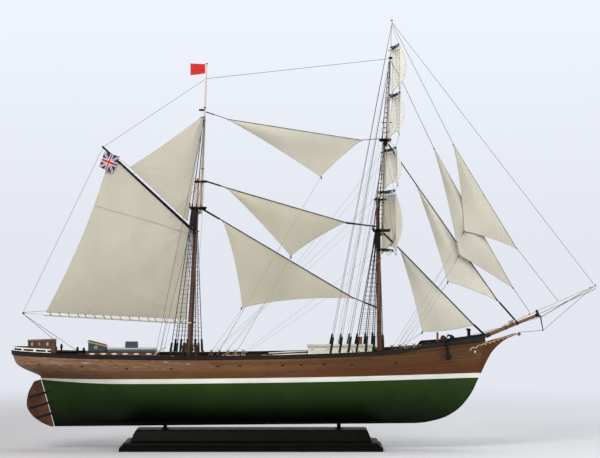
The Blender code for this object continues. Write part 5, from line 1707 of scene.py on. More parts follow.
def platform(name, node, z, x0, x1, half, masts, rail=True):
    """A top: a slatted floor, rounded forward, with a raised rim, on trestle-trees and cross-trees."""
    b = Build()
    steps = 12
    outline = [(x0, -half)]
    for k in range(steps + 1):
        angle = -math.pi / 2 + math.pi * k / steps
        outline.append(
            (
                x1 - half * 0.45 + half * 0.45 * math.cos(angle),
                half * math.sin(angle) if abs(math.sin(angle)) < 0.999 else half * math.copysign(1, math.sin(angle))
            )
        )
    outline.append((x0, half))
    b.prism([V(x, y, z - 0.8) for x, y in outline], (0, 0, 1.0))
    inner = [V(0.06 * (x0 + x1) / 2 + 0.94 * x, 0.94 * y, z + 0.2) for x, y in outline]
    outer = [V(x, y, z + 0.2) for x, y in outline]
    b.tube([o.lerp(i, 0.2) + V(0, 0, 0.2) for o, i in zip(outer, inner)], 0.6, 6, closed=True)
    for k in range(int(half * 2 / 1.9)):
        y = -half + 1.4 + k * 1.9
        if abs(y) > half - 1:
            continue
        reach = x1 - 1.5 - max(abs(y) - half * 0.55, 0) * 0.9
        b.block(((x0 + reach) / 2, y, z + 0.35), (reach - x0 - 1.0, 1.2, 0.5), 0.12)
    b.blocks([(x0 + x1) / 2], (-4.4, 4.4), [z - 2.2], (x1 - x0 - 2.0, 1.6, 2.6), 0.35)
    b.blocks((x0 + (x1 - x0) * 0.3, x0 + (x1 - x0) * 0.72), [0], [z - 1.6], (1.6, half * 2 - 1.0, 1.5), 0.3)
    b.blocks([on(masts[0], z - 6.0).x + 0.8], (-3.6, 3.6), [z - 6.5], (5.0, 1.0, 7.0), 0.3)
    if rail:
        for y in (-half + 1.0, -half / 3, half / 3, half - 1.0):
            b.turned((x0 + 0.7, y, z), (x0 + 0.7, y, z + 6.5), ((0, 0.5), (0.5, 0.35), (0.95, 0.4), (1, 0.3)), 8)
        b.tube([(x0 + 0.7, -half + 0.6, z + 6.5), (x0 + 0.7, half - 0.6, z + 6.5)], 0.45, 6)
    b.done(name, "black", replaces=[node], smooth=30)


def cap(name, node, z, x0, x1, half, masts, tall=2.6):
    b = Build()
    rings = []
    for height, inset in ((z - tall, 0.3), (z - tall + 0.3, 0.0), (z - 0.3, 0.0), (z, 0.3)):
        ring = round_points(V(0, 0, height), V(1, 0, 0), V(0, 1, 0), half - inset, 24)
        rings.append([V(p.x + (x0 + x1) / 2 + math.copysign((x1 - x0) / 2 - half, p.x), p.y, p.z) for p in ring])
    b.loft(rings)
    for mast in masts:
        at = on(mast, z)
        up = (mast[1] - mast[0]).normalized()
        r = mast[2] * 0.9
        b.turned(at - up * 0.4, at + up * 0.9, ((0, r + 0.9), (0.7, r + 0.9), (1, r + 0.3)), 20)
    b.done(name, "black", replaces=[node], smooth=35)


def make_tops():
    """Tops, caps and cross-trees."""
    platform("main_top_platform", "main_top", 367.0, -92.0, -66.0, 13.0, (MAIN_LOWER, MAIN_TOP))
    cap("main_mast_cap", "main_cap", 406.5, -85.0, -65.5, 4.6, (MAIN_LOWER, MAIN_TOP))
    platform("fore_top_platform", "fore_top", 333.6, 182.0, 209.5, 14.0, (FORE_LOWER, FORE_TOP))
    cap("fore_mast_cap", "fore_cap", 379.6, 184.5, 203.8, 4.6, (FORE_LOWER, FORE_TOP), 2.4)
    platform(
        "fore_crosstree_frame", "fore_crosstrees", 469.0, 192.0, 211.0, 9.0, (FORE_TOP, FORE_GALLANT), rail=False
    )
    b = Build()
    b.block((204.0, 0, 494.0), (16.0, 0.9, 1.1), 0.2)
    b.block((-73.6, 0, 513.0), (8.0, 5.0, 3.0), 0.5)
    b.block((209.6, 0, 591.0), (5.4, 4.2, 3.4), 0.5)
    for side in SIDES:
        b.turned((-70.2, 0, 502.0), (-75.0, side * 11.0, 502.0), ((0, 0.8), (0.5, 0.7), (1, 0.4)), 8)
        b.turned((207.4, 0, 527.5), (203.0, side * 9.0, 527.5), ((0, 0.6), (0.5, 0.5), (1, 0.3)), 8)
    for spar, low, high in ((FORE_LOWER, 306.0, 331.0), (MAIN_LOWER, 326.0, 365.0)):
        b.turned(on(spar, low), on(spar, high), doubled(((0, 3.2), (0.03, 3.9))), 20)
    b.done("masthead_fittings", "black", smooth=35)


# Each yard's place along the ship, height, half-length, and radii in the middle and at the ends.
YARDS = {
    "fore_yard": (201.0, 303.0, 140.0, 2.4, 1.2),
    "lower_topsail_yard": (204.6, 390.0, 125.0, 2.2, 1.1),
    "upper_topsail_yard": (208.0, 453.0, 112.0, 2.0, 1.0),
    "topgallant_yard": (216.0, 535.5, 88.0, 1.7, 0.9),
    "royal_yard": (216.0, 607.5, 66.0, 1.4, 0.8),
}
YARD_BRACE = math.radians(3.0)
YARD_ARM = 0.965


def yard_point(name, share, up=0.0, fore=0.0):
    """A place on a yard: share −1 is the starboard arm, 1 the port arm."""
    x, z, half, _, _ = YARDS[name]
    return V(x - math.sin(YARD_BRACE) * half * share + fore, math.cos(YARD_BRACE) * half * share, z + up)


def make_yards():
    """The yards with bands, jackstays, trusses and foot ropes."""
    masts = {
        "fore_yard": FORE_LOWER, "lower_topsail_yard": FORE_LOWER, "upper_topsail_yard": FORE_TOP,
        "topgallant_yard": FORE_GALLANT, "royal_yard": FORE_GALLANT
    }
    for name, (x, z, _, thick, thin) in YARDS.items():
        rows = [(0, thin * 0.6), (0.004, thin * 0.95)]
        for k in range(1, 24):
            share = k / 24
            away = abs(share * 2 - 1)
            rows.append((share, thick - (thick - thin) * max(away - 0.1, 0) ** 1.5 * 1.15))
        rows += [(0.996, thin * 0.95), (1, thin * 0.6)]
        b = Build()
        start, end = yard_point(name, -1), yard_point(name, 1)
        b.turned(start, end, rows, 16)
        d = (end - start).normalized()
        for share in (-0.96, -0.55, -0.12, 0.12, 0.55, 0.96):
            at = yard_point(name, share)
            r = thick - (thick - thin) * max(abs(share) - 0.1, 0) ** 1.5 * 1.15
            b.turned(at - d * 0.7, at + d * 0.7, doubled(((0, r), (0.1, r + 0.3))), 16)
        # jackstay on top, with its eyes
        jack = [yard_point(name, s, thick * 0.9, 0.6) for s in [-0.93 + 1.86 * k / 12 for k in range(13)]]
        b.tube(jack, 0.2, 5)
        for p in jack:
            b.tube([p - V(0, 0, 1.2), p + V(0, 0, 0.1)], 0.16, 5)
        # iron truss or parrel that holds the yard to its mast
        mast = on(masts[name], min(z, masts[name][1].z - 1.0))
        for h, side in itertools.product((-1.2, 1.2), SIDES):
            arm = ((x, 2.2, h), ((x + mast.x) / 2, 2.0, h * 0.8), (mast.x, 3.4, h * 0.6))
            b.tube([V(px, side * py, z + pz) for px, py, pz in arm], 0.55, 7)
        b.done(name + "_spar", "black", name, "black_paint", [name], 40)
        # foot rope with stirrups
        b = Build()
        for side in SIDES:
            shares = (0.06, 0.36, 0.66, 0.94)
            line = []
            for a, c in zip(shares, shares[1:]):
                line += between(
                    yard_point(name, side * a, -6.0 if a > 0.1 else -1.0),
                    yard_point(name, side * c, -6.0 if c < 0.9 else -1.0), 5, 1.2
                )[:-1]
            line.append(yard_point(name, side * 0.94, -1.0))
            b.tube(line, 0.2, 5)
            for s in (0.36, 0.66):
                b.tube([yard_point(name, side * s, 0.0, -1.0), yard_point(name, side * s, -6.0)], 0.16, 5)
        b.done(name + "_foot_ropes", "thread", name, smooth=60)


# ---------------------------------------------------------------- sails


def corner_folds(place, corners, amount, reach):
    """The height of the folds that spread from a sail's corners."""
    height = 0.0
    for number, corner in enumerate(corners):
        d = place - corner
        distance = d.length
        angle = math.atan2(d.z, d.x if abs(d.x) > abs(d.y) else d.y)
        spread = math.exp(-distance / reach) * min(distance / 14.0, 1.0)
        height += amount * spread * math.sin(angle * (13 + 2 * number) + number * 1.7)
    return height


def sail_noise(place, amount, scale=0.018):
    return amount * noise.noise(Vector(place) * scale + V(7.1, 3.3, 1.9))


def edge_rope(name, lines, body, radius=0.42):
    b = Build()
    for line in lines:
        b.tube(line, radius, 6)
    b.done(name, "bolt", body, smooth=60)


def area_of(grid):
    total = 0.0
    for c in range(len(grid) - 1):
        for r in range(len(grid[0]) - 1):
            a, b, d, e = grid[c][r], grid[c + 1][r], grid[c + 1][r + 1], grid[c][r + 1]
            total += ((b - a).cross(d - a).length + (d - a).cross(e - a).length) / 2
    return total * MM * MM


SAIL_CLOTH = 0.55
# which sails take a lighter or darker copy of the sailcloth: painted light and painted shade
SAIL_PAINTED_LIGHT = {
    "inner_jib": "sail_fore", "fore_staysail": "sail_fore", "lower_topsail": "sail_lowest",
    "middle_staysail": "sail_low", "main_staysail": "sail_low",
}
# Head, tack and clew of each sail, then how far its leech and its foot curve in.
TRIANGLES = {
    "flying_jib": ((304.0, 0.0, 460.5), (398.0, 0.0, 306.0), (319.5, -15.0, 331.5), 5.0, 3.0),
    "outer_jib": ((275.0, 0.0, 454.5), (393.0, 0.0, 246.0), (312.0, -15.0, 295.5), 4.0, 2.0),
    "inner_jib": ((249.0, 0.0, 399.0), (369.0, 0.0, 228.0), (295.0, -14.0, 256.5), 3.0, 2.0),
    "fore_staysail": ((224.0, 0.0, 303.0), (334.0, 0.0, 190.5), (257.0, -14.0, 181.5), 3.0, -3.0),
    "upper_staysail": ((-33.0, 0.0, 498.0), (165.0, 0.0, 467.0), (104.6, -14.0, 413.0), 4.0, 2.0),
    "middle_staysail": ((-35.0, 0.0, 395.0), (140.0, 0.0, 344.0), (60.0, -14.0, 294.5), 3.0, 3.0),
    "main_staysail": ((-41.0, 0.0, 345.0), (152.0, 0.0, 231.0), (-12.0, -16.0, 217.5), 5.0, 7.0),
}
# Each sail's yard, its head and foot by place, height and half-width, then its belly and its foot's roach.
SQUARES = {
    "lower_topsail": ("lower_topsail_yard", (207.5, 386.0, 108.0), (207.0, 297.0, 121.0), 15.0, 12.0),
    "upper_topsail": ("upper_topsail_yard", (211.0, 450.0, 88.0), (211.0, 398.0, 106.0), 11.0, 8.0),
    "topgallant_sail": ("topgallant_yard", (218.5, 533.0, 66.0), (215.0, 473.0, 88.0), 10.0, 8.0),
    "royal_sail": ("royal_yard", (218.5, 605.5, 50.0), (218.0, 542.0, 66.0), 12.0, 8.0),
}


def make_triangles():
    """Jibs and staysails with bolt ropes, cringles and hanks."""
    for name, (head, tack, clew, leech_hollow, foot_hollow) in TRIANGLES.items():
        head, tack, clew = Vector(head), Vector(tack), Vector(clew)
        inward = ((head + tack) / 2 - clew).normalized()
        upward = (head - (tack + clew) / 2).normalized()
        columns, rows = 36, 46

        def place(across, down):
            down = 0.012 + 0.988 * down
            p = head.lerp(tack, down).lerp(head.lerp(clew, down), across)
            crown = 4.0 * down * (1.0 - down)
            p += inward * (leech_hollow * crown * across)
            p += upward * (foot_hollow * down**4 * 4.0 * across * (1.0 - across))
            p.y -= 7.2 * math.sin(math.pi * across) * crown**1.1
            fold = corner_folds(p, (head, tack, clew), 0.25, 30.0) + sail_noise(p, 1.1)
            p.y += fold * min(across * 6.0, 1.0)
            if across < 0.12:
                p += (p - clew).normalized() * (-0.5 * abs(math.sin(down * 9 * math.pi)) * (1 - across / 0.12))
            return p

        b = Build()
        grid = grid_panel(b, place, columns, rows, SAIL_CLOTH)
        piece = b.done(name + "_cloth", SAIL_PAINTED_LIGHT.get(name, "sail"), HULL, "sailcloth", [name], 50)
        luff, leech = grid[0], grid[-1]
        foot = [column[-1] for column in grid]
        edge_rope(name + "_bolt_rope", (luff, leech, foot), HULL)
        # cringles at the corners, and hanks along the luff
        b = Build()
        for corner, inside in ((head, (tack + clew) / 2), (tack, (head + clew) / 2), (clew, (head + tack) / 2)):
            toward = (inside - corner).normalized()
            b.ring(corner - toward * 0.6, V(0, 1, 0), 1.1, 0.32, 12, 5)
        b.done(name + "_cringles", "iron", HULL, smooth=50)
        b = Build()
        count = 14
        along = (tack - head).normalized()
        for k in range(count):
            at = grid[0][round((k + 0.5) * rows / count)]
            b.ring(at - (clew - at).normalized() * 0.5, along, 1.0, 0.22, 10, 5)
        b.done(name + "_hanks", "hemp_grey", HULL, smooth=50)


def make_squares():
    """Square sails with bolt ropes, robands and buntlines."""
    for name, (yard, head, foot, belly, roach) in SQUARES.items():
        columns, rows = 56, 32

        def place(across, down):
            share = across * 2.0 - 1.0
            x = head[0] + (foot[0] - head[0]) * down
            z = head[1] + (foot[1] - head[1]) * down
            half = head[2] + (foot[2] - head[2]) * down
            half -= 2.0 * math.sin(math.pi * down)
            z += roach * down**3 * (1.0 - share * share)
            bulge = math.sin(math.pi * (0.12 + 0.80 * down)) * (1.0 - share**4)
            x += belly * bulge - half * share * math.sin(YARD_BRACE)
            p = V(x, half * share, z)
            corners = (
                V(head[0], -head[2], head[1]), V(head[0], head[2], head[1]), V(foot[0], -foot[2], foot[1]),
                V(foot[0], foot[2], foot[1])
            )
            p.x += corner_folds(V(p.y, 0, p.z), [V(c.y, 0, c.z) for c in corners], 0.6, 26.0) + sail_noise(p, 1.0)
            p.z -= 0.5 * abs(math.sin(across * 11 * math.pi)) * max(1 - down / 0.12, 0)
            return p

        b = Build()
        grid = grid_panel(b, place, columns, rows, SAIL_CLOTH)
        piece = b.done(name + "_cloth", SAIL_PAINTED_LIGHT.get(name, "sail_square"), yard, "sailcloth", [name], 50)
        edge_rope(name + "_bolt_rope", (grid[0], grid[-1], [c[0] for c in grid], [c[-1] for c in grid]), yard)
        # robands that tie the head to its yard, and a ring at each corner
        b = Build()
        thick = YARDS[yard][3]
        for k in range(12):
            at = grid[round((k + 0.5) * columns / 12)][0]
            centre = V(YARDS[yard][0] - at.y * math.tan(YARD_BRACE), at.y, YARDS[yard][1])
            loop = oval_points(centre, V(1, 0, 0), V(0, 0, 1), thick + 1.2, thick + 1.2, 12)
            leans = [0.125 * (1 - math.cos(math.tau * i / 12 - 5.5)) for i in range(12)]
            b.tube([p + (at - centre) * lean for p, lean in zip(loop, leans)], 0.18, 5, closed=True)
        for corner, d in ((grid[0][0], -1), (grid[-1][0], 1), (grid[0][-1], -1), (grid[-1][-1], 1)):
            b.ring(corner + V(0, d * 0.9, 0), (1, 0, 0), 1.1, 0.3, 12, 5)
        b.done(name + "_robands", "thread", yard, smooth=50)
        # buntlines: fine lines down the fore side
        b = Build()
        for share in (-0.5, -0.18, 0.18, 0.5):
            column = grid[round((share + 1) / 2 * columns)]
            b.tube([p + V(0.6, 0, 0) for p in column[::3] + [column[-1]]], 0.14, 5)
        b.done(name + "_buntlines", "hemp_grey", yard, smooth=60)


# Throat, peak, clew and tack.
MAINSAIL = ((-93.0, 335.6), (-210.8, 444.9), (-307.0, 209.8), (-96.5, 199.0))
MAINSAIL_STEPS = 60
GAFF_TOPSAIL = ((-72.4, 502.0), (-76.6, 500.4), (-181.0, 427.0), (-95.0, 346.5))


def make_gaff_sails():
    """Mainsail and gaff topsail, with reef band, lacings and mast hoops."""
    def quad(name, corners, belly, leech_hollow, columns, rows, wrinkle):
        throat, peak, clew, tack = (V(x, 0, z) for x, z in corners)

        def place(across, down):
            p = throat.lerp(peak, across).lerp(tack.lerp(clew, across), down)
            p.x += leech_hollow * 4.0 * down * (1.0 - down) * across**2
            p.y -= belly * max(math.sin(math.pi * across), 0.0) ** 0.8 * max(math.sin(math.pi * down), 0.0) ** 0.8
            edge = min(across * 8, (1 - across) * 8, down * 8, (1 - down) * 8, 1.0)
            p.y += (corner_folds(p, (throat, peak, clew, tack), wrinkle, 45.0) + sail_noise(p, 1.6)) * edge
            return p

        b = Build()
        grid = grid_panel(b, place, columns, rows, SAIL_CLOTH)
        piece = b.done(name + "_cloth", "sail_main", BOOM, "sailcloth", [name], 50)
        edge_rope(name + "_bolt_rope", (grid[0], grid[-1], [c[0] for c in grid], [c[-1] for c in grid]), BOOM)
        return piece, grid

    piece, grid = quad("mainsail", MAINSAIL, 12.0, 8.0, MAINSAIL_STEPS, MAINSAIL_STEPS, 0.7)
    area = area_of(grid)
    topsail, top_grid = quad("gaff_topsail", GAFF_TOPSAIL, 4.0, 3.0, 40, 44, 0.5)
    top_area = area_of(top_grid)

    # reef band, lacing to boom and gaff, hoops round the mast
    b = Build()
    band = []
    aft_end, fore_end = (-237.5, 366.0), (-90.0, 326.0)
    for column in grid:
        share = (column[MAINSAIL_STEPS // 2].x - aft_end[0]) / (fore_end[0] - aft_end[0])
        height = aft_end[1] + (fore_end[1] - aft_end[1]) * share
        nearest = min(column, key=lambda p: abs(p.z - height))
        band.append(V(nearest.x, nearest.y - 0.7, height))
    b.tube(band, 0.28, 5)
    b.done("mainsail_reef_band", "bolt", BOOM, smooth=60)
    b = Build()
    gaff_dir = (GAFF[1] - GAFF[0]).normalized()
    for k in range(21):
        at = grid[round((k + 0.5) * MAINSAIL_STEPS / 21)][0]
        centre = GAFF[0] + gaff_dir * (at - GAFF[0]).dot(gaff_dir)
        b.ring((at + centre) / 2 * 0.25 + centre * 0.75, gaff_dir, (at - centre).length * 0.5 + 1.9, 0.2, 14, 5)
    b.done("gaff_lacing", "tarred", BOOM, smooth=60)
    b = Build()
    boom_dir = (MAIN_BOOM[1] - MAIN_BOOM[0]).normalized()
    for k in range(16):
        at = grid[round((k + 0.4) * MAINSAIL_STEPS / 16)][-1]
        centre = MAIN_BOOM[0] + boom_dir * (at - MAIN_BOOM[0]).dot(boom_dir)
        tilt = (boom_dir - V(0, 0, 0.6)).normalized()
        b.ring(centre + V(0, 0, 1.0), tilt, 3.5, 0.42, 16, 5)
    b.done("boom_lacing", "tarred", BOOM, smooth=60)
    b = Build()
    for k in range(13):
        at = grid[0][round((k + 0.5) * MAINSAIL_STEPS / 13)]
        centre = on(MAIN_LOWER, at.z)
        b.ring(centre, (MAIN_LOWER[1] - MAIN_LOWER[0]), 5.0, 0.35, 20, 5)
    b.done("mast_hoops", "bowsprit", BOOM, "mahogany", smooth=60)


def make_flags():
    """The house flag at the main truck and the ensign at the gaff."""
    columns, rows = 22, 14

    def house(across, down):
        wave = 3.0 * math.sin(3.5 * across) + 0.7 * math.sin(9 * across + 2 * down)
        return V(-68.4 - 22.0 * across, wave, 582.0 - 14.0 * down + across * (1.0 - 4.0 * down))

    b = Build()
    grid = grid_panel(b, house, columns, rows, 0.35)
    flag = b.done("house_flag_cloth", "red", HULL, "red_bunting", ["house_flag"], 50)

    def ensign(across, down):
        hoist = V(-219.0, 0, 450.0).lerp(V(-227.0, 0, 427.5), down)
        fly = V(-196.0, 0, 443.0).lerp(V(-207.0, 0, 418.0), down)
        place = hoist.lerp(fly, across)
        place.y = -6.0 - 2.0 * math.sin(4.0 * across) - 0.5 * math.sin(9 * across + 3 * down)
        return place

    b = Build()
    grid = grid_panel(b, ensign, columns, rows, 0.35)
    flag = b.done("ensign_cloth", "ensign", BOOM, "blue_bunting", ["ensign"], 50)


# ---------------------------------------------------------------- rigging


def block_and_strop(b, at, along=(0, 0, 1), size=1.6):
    """A wooden pulley block in its rope strop."""
    at, along = Vector(at), Vector(along).normalized()
    b.ball(at, size * 0.8, along, 1.35, 7, 10)
    side = along.orthogonal().normalized()
    b.tube(oval_points(at, along, side, size * 1.3, size * 0.95, 14), 0.22, 5, closed=True)


def line(name, points, radius=0.22, material="thread", body=HULL, to=None, blocks=(), sides=6):
    """Standing or running rigging; when another body is named, the piece rides on no body."""
    b = Build()
    points = [Vector(p) for p in points]
    b.tube(points, radius, sides)
    for at, along in blocks:
        block_and_strop(b, at, along)
    piece = b.done(name, material, None if to else body, "tarred_rope", smooth=60)
    if to:
        metres(points[0])
        metres(points[-1])
        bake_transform(piece)
    return piece


def deadeye(b, centre, facing, radius=1.9):
    """A round block with a groove round its rim for the strop."""
    facing = facing.normalized()
    profile = [(share, radius * size) for share, size in doubled(((0, 0.6), (0.12, 0.9), (0.3, 1.0), (0.45, 0.9)))]
    b.turned(centre - facing * 0.95, centre + facing * 0.95, profile, 16)


def gang(label, side, feet, top_x, top_z, top_half, spacing, tall, extra=(), plain_backs=False):
    """Shrouds with deadeyes, lanyards, served lower ends, chain plates and ratlines."""
    legs = []
    for number, x in enumerate(feet):
        foot = V(x, side * (side_at(x, 1.0) - 0.4), rail_top(x))
        head = V(top_x + (number - (len(feet) - 1) / 2) * 1.6, side * top_half, top_z)
        legs.append((foot, head))
    ropes, eyes, serve = Build(), Build(), Build()
    backs, thin = [(V(x, side * (side_at(x, 1.0) - 0.4), rail_top(x)), h) for x, h in extra], Build()
    for foot, head in legs + backs:
        up = (head - foot).normalized()
        if (foot, head) in backs and plain_backs:
            thin.tube([foot - V(0, 0, 1.0), head], 0.26, 6)
            continue
        low, high = foot + up * 2.2, foot + up * (2.2 + tall)
        facing = V(0.0, side, 0.15)
        deadeye(eyes, low, facing)
        deadeye(eyes, high, facing)
        across = up.cross(V(0, side, 0)).normalized()
        for k in (-1, 0, 1):
            ropes.tube([low - up * 1.5 + across * (1.0 * k), high + across * (1.0 * k)], 0.85, 5)
        serve.tube([high + up * 0.5, high + up * 8.5, high + up * 10.5], [1.7, 1.45, 0.45], 8)
        for k in (1, 2, 3, 4):
            at = high + up * (1.4 + 1.7 * k)
            serve.turned(at - up * 0.4, at + up * 0.4, doubled(((0, 1.5), (0.3, 1.8))), 10)
        if (foot, head) in backs:
            thin.tube([high + up * 6.0, head], 0.28, 6)
        else:
            ropes.tube([high + up * 6.0, head], 0.6, 6)
            serve.tube([head, head - up * 16.0, head - up * 30.0], [1.5, 1.2, 0.5], 8)
        plate = V(foot.x, side * (side_at(foot.x, 1.0) + 0.9), sheer(foot.x) + 1.2)
        eyes.tube(
            [low - up * 1.6, V(foot.x, side * (side_at(foot.x, 1.0) + 0.9), rail_top(foot.x) - 2.0), plate],
            [0.6, 0.55, 0.5], 6
        )
    if thin.bm.verts:
        thin.done(f"{label}_backstays", "thread", smooth=60)
    eyes.done(f"{label}_deadeyes", "black", slot="iron", replaces=(), smooth=40)
    serve.done(f"{label}_served_ends", "tarred", smooth=50)
    ropes.done(f"{label}_ropes", "tarred", replaces=[label], smooth=60)
    rat = Build()
    z = rail_top(sum(feet) / len(feet)) + tall + 9.0
    while z < top_z - 3.0:
        across = []
        for foot, head in legs:
            t = (z - foot.z) / (head.z - foot.z)
            across.append(foot.lerp(head, t))
        line_points = []
        for a, c in zip(across, across[1:]):
            line_points += between(a, c, 3, 0.18)[:-1]
        line_points.append(across[-1])
        first = across[0] + (across[0] - across[1]).normalized() * 0.5
        final = across[-1] + (across[-1] - across[-2]).normalized() * 0.5
        rat.tube([first] + line_points + [final], 0.24, 5)
        z += spacing
    rat.done(f"{label}_ratlines", "thread", smooth=60)


def upper_gang(label, side, feet, feet_z, feet_half, head, head_half, spacing, futtock=None):
    """Topmast shrouds from the edge of a top to the masthead."""
    b = Build()
    legs = []
    for number, x in enumerate(feet):
        a = V(x, side * feet_half, feet_z)
        c = Vector(head) + V((number - (len(feet) - 1) / 2) * 1.2, side * head_half, 0)
        legs.append((a, c))
        b.tube([a, c], 0.42, 6)
        up = (c - a).normalized()
        b.turned(
            a + up * 0.5, a + up * 4.6,
            ((0, 0.6), (0.1, 1.0), (0.35, 1.0), (0.45, 0.45), (0.6, 0.45), (0.7, 0.95), (0.9, 0.95), (1, 0.4)), 10
        )
        if futtock:
            mast, drop = futtock
            b.tube([a - V(0, 0, 0.6), V(on(mast, feet_z - drop).x, side * 3.0, feet_z - drop)], 0.3, 6)
    z = feet_z + 9.0
    while spacing and z < head[2] - 6.0:
        points = [a.lerp(c, (z - a.z) / (c.z - a.z)) for a, c in legs]
        b.tube(points, 0.34, 5)
        z += spacing
    b.done(label, "tarred", smooth=60)


def served(b, a, c, length, radius=1.0):
    """A thick served collar on a line's upper end."""
    a, c = Vector(a), Vector(c)
    d = (c - a).normalized()
    rows, count = [], int(length / 1.4)
    for k in range(count + 1):
        rows.append((k / count, radius * (1.0 if k % 2 else 0.86)))
    rows[-1] = (1.0, 0.35)
    b.turned(a, a + d * length, rows, 8)


def make_rigging():
    """Shrouds, stays, head rigging, and every line that leads to a spar or a sail."""
    main_feet, fore_feet = (-118.0, -109.0, -98.5, -86.0, -75.5), (157.0, 171.0, 183.0, 197.0)
    for word, side in NAMED_SIDES:
        backs = [(-140.0, V(-69.0, side * 1.5, 505.0)), (-134.5, V(-72.0, side * 3.0, 408.0))]
        gang(f"main_shrouds_{word}", side, main_feet, -84.5, 363.5, 8.5, 6.6, 9.0, backs, True)
        backs = [
            (118.5, V(211.0, side * 0.8, 640.0)), (132.0, V(208.5, side * 1.2, 588.0)),
            (145.0, V(203.0, side * 3.0, 468.0))
        ]
        gang(f"fore_shrouds_{word}", side, fore_feet, 190.0, 330.5, 8.5, 6.6, 12.5, backs)
        upper_gang(
            f"main_topmast_shrouds_{word}", side, (-88.0, -81.0, -74.5), 367.8, 12.4, (-70.0, 0, 500.0), 1.2, 0.0,
            (MAIN_LOWER, 22.0)
        )
        upper_gang(
            f"fore_topmast_shrouds_{word}", side, (184.5, 191.0, 197.0), 334.4, 13.4, (199.2, 0, 464.0), 2.4, 6.6,
            (FORE_LOWER, 22.0)
        )
        upper_gang(
            f"fore_topgallant_shrouds_{word}", side, (197.0, 203.0), 469.8, 8.6, (207.8, 0, 586.0), 0.9, 7.5,
            (FORE_TOP, 16.0)
        )

    stays = {
        "upper_staysail_stay": (0.5, (-67, 0, 510), (-33, 0, 498.9), (165, 0, 467.9), (197, 0, 470.0)),
        "middle_stay": (0.75, (-70, 0, 407), (-35, 0, 396), (140, 0, 345), (188, 0, 338.5)),
        "main_stay": (0.85, (-72, 0, 364), (-41, 0, 346.2), (152, 0, 232), (189.5, 0, 216.5)),
        "flying_jib_stay": (0.32, (211.0, 0, 645), (304, 0, 461.2), (398, 0, 306.8), (461, 0, 226.5)),
        "outer_jib_stay": (0.36, (209.5, 0, 588), (227, 0, 556), (275, 0, 455), (393, 0, 246.8), (419, 0, 208.5)),
        "inner_jib_stay": (0.85, (203, 0, 466.5), (249, 0, 400), (369, 0, 228.8), (399, 0, 195)),
        "fore_stay": (1.0, (194, 0, 333), (224, 0, 303.9), (334, 0, 191.3), (351, 0, 175.5)),
        "royal_stay": (0.28, (211.5, 0, 645), (516, 0, 249.8)),
        "masthead_stay": (0.3, (-66.9, 0, 560), (208.0, 0, 590)),
    }
    for name, (radius, *points) in stays.items():
        line(name, points, radius, "tarred" if radius > 0.4 else "thread")
    b = Build()
    collars = (
        ((-72, 0, 364), (-41, 0, 346.2), 30.0, 1.5), ((189.5, 0, 216.5), (152, 0, 232), 22.0, 1.3),
        ((-70, 0, 407), (-35, 0, 396), 27.0, 1.3), ((188, 0, 338.5), (140, 0, 343.5), 46.0, 1.1),
        ((203, 0, 466.5), (249, 0, 400), 40.0, 1.3),
        ((194, 0, 333), (224, 0, 303.9), 26.0, 1.5), ((351, 0, 175.5), (334, 0, 191.3), 24.0, 1.7),
        ((399, 0, 195), (369, 0, 228.8), 40.0, 1.45),
        ((-67, 0, 510), (-33, 0, 498.9), 14.0, 0.9),
    )
    for a, c, length, radius in collars:
        served(b, a, c, length, radius)
    b.done("served_collars", "tarred", smooth=60)

    # head rigging
    b = Build()
    tip = V(516.5, 0, 250.0)
    striker = V(438.3, 0, 182.5)
    b.tube([tip, striker], 0.32, 6)
    b.tube([striker, (401, 0, 179.5)], 0.32, 6)
    for side in SIDES:
        b.tube(
            [tip, V(436.0, side * 9.0, 203.0), V(322.0, side * (side_at(322.0, 1.0) - 0.5), rail_top(322.0))], 0.26, 6
        )
        b.tube(
            [V(429, side * 2.0, 204), V(340.0, side * (side_at(340.0, 1.0) - 0.2), rail_top(340.0) - 4.0)], 0.32, 6
        )
        b.turned(V(434, side * 1.5, 204.5), V(436.0, side * 10.0, 203.0), ((0, 0.7), (0.5, 0.6), (1, 0.4)), 8)
    b.done("head_rigging", "tarred", smooth=60)
    b = Build()
    for k in range(5):
        at = BOWSPRIT[0].lerp(BOWSPRIT[1], 0.2 + 0.012 * k)
        b.ring(at, BOWSPRIT[1] - BOWSPRIT[0], 3.5, 0.45, 20, 6)
    for k in range(4):
        at = JIB_BOOM[0].lerp(JIB_BOOM[1], 0.07 + 0.012 * k)
        b.ring(at - V(-0.3, 0, 0.9), BOWSPRIT[1] - BOWSPRIT[0], 3.6, 0.4, 20, 6)
    turn = V(1, 0, 0).rotation_difference(BOWSPRIT[1] - BOWSPRIT[0])
    b.block(BOWSPRIT[1] + V(-0.6, 0, 1.8), (3.2, 6.6, 11.0), 0.5, turn)
    b.done("bowsprit_gammoning", "tarred", smooth=60)
    b = Build()
    b.tube([V(357.0, 0, 179.6), V(380.0, 0, 189.6)], 0.7, 8)
    b.done("jib_boom_heel_rope", "cream", smooth=60)
    # foot ropes under the jib boom
    b = Build()
    for side in SIDES:
        points = []
        for k in range(13):
            t = 0.36 + 0.62 * k / 12
            points.append(
                JIB_BOOM[0].lerp(JIB_BOOM[1], t) + V(0, side * 3.4, -5.0 - 1.2 * abs(math.sin(k * math.pi / 3)))
            )
        b.tube([JIB_BOOM[0].lerp(JIB_BOOM[1], 0.35)] + points + [tip], 0.18, 5)
    b.done("jib_boom_foot_ropes", "thread", smooth=60)

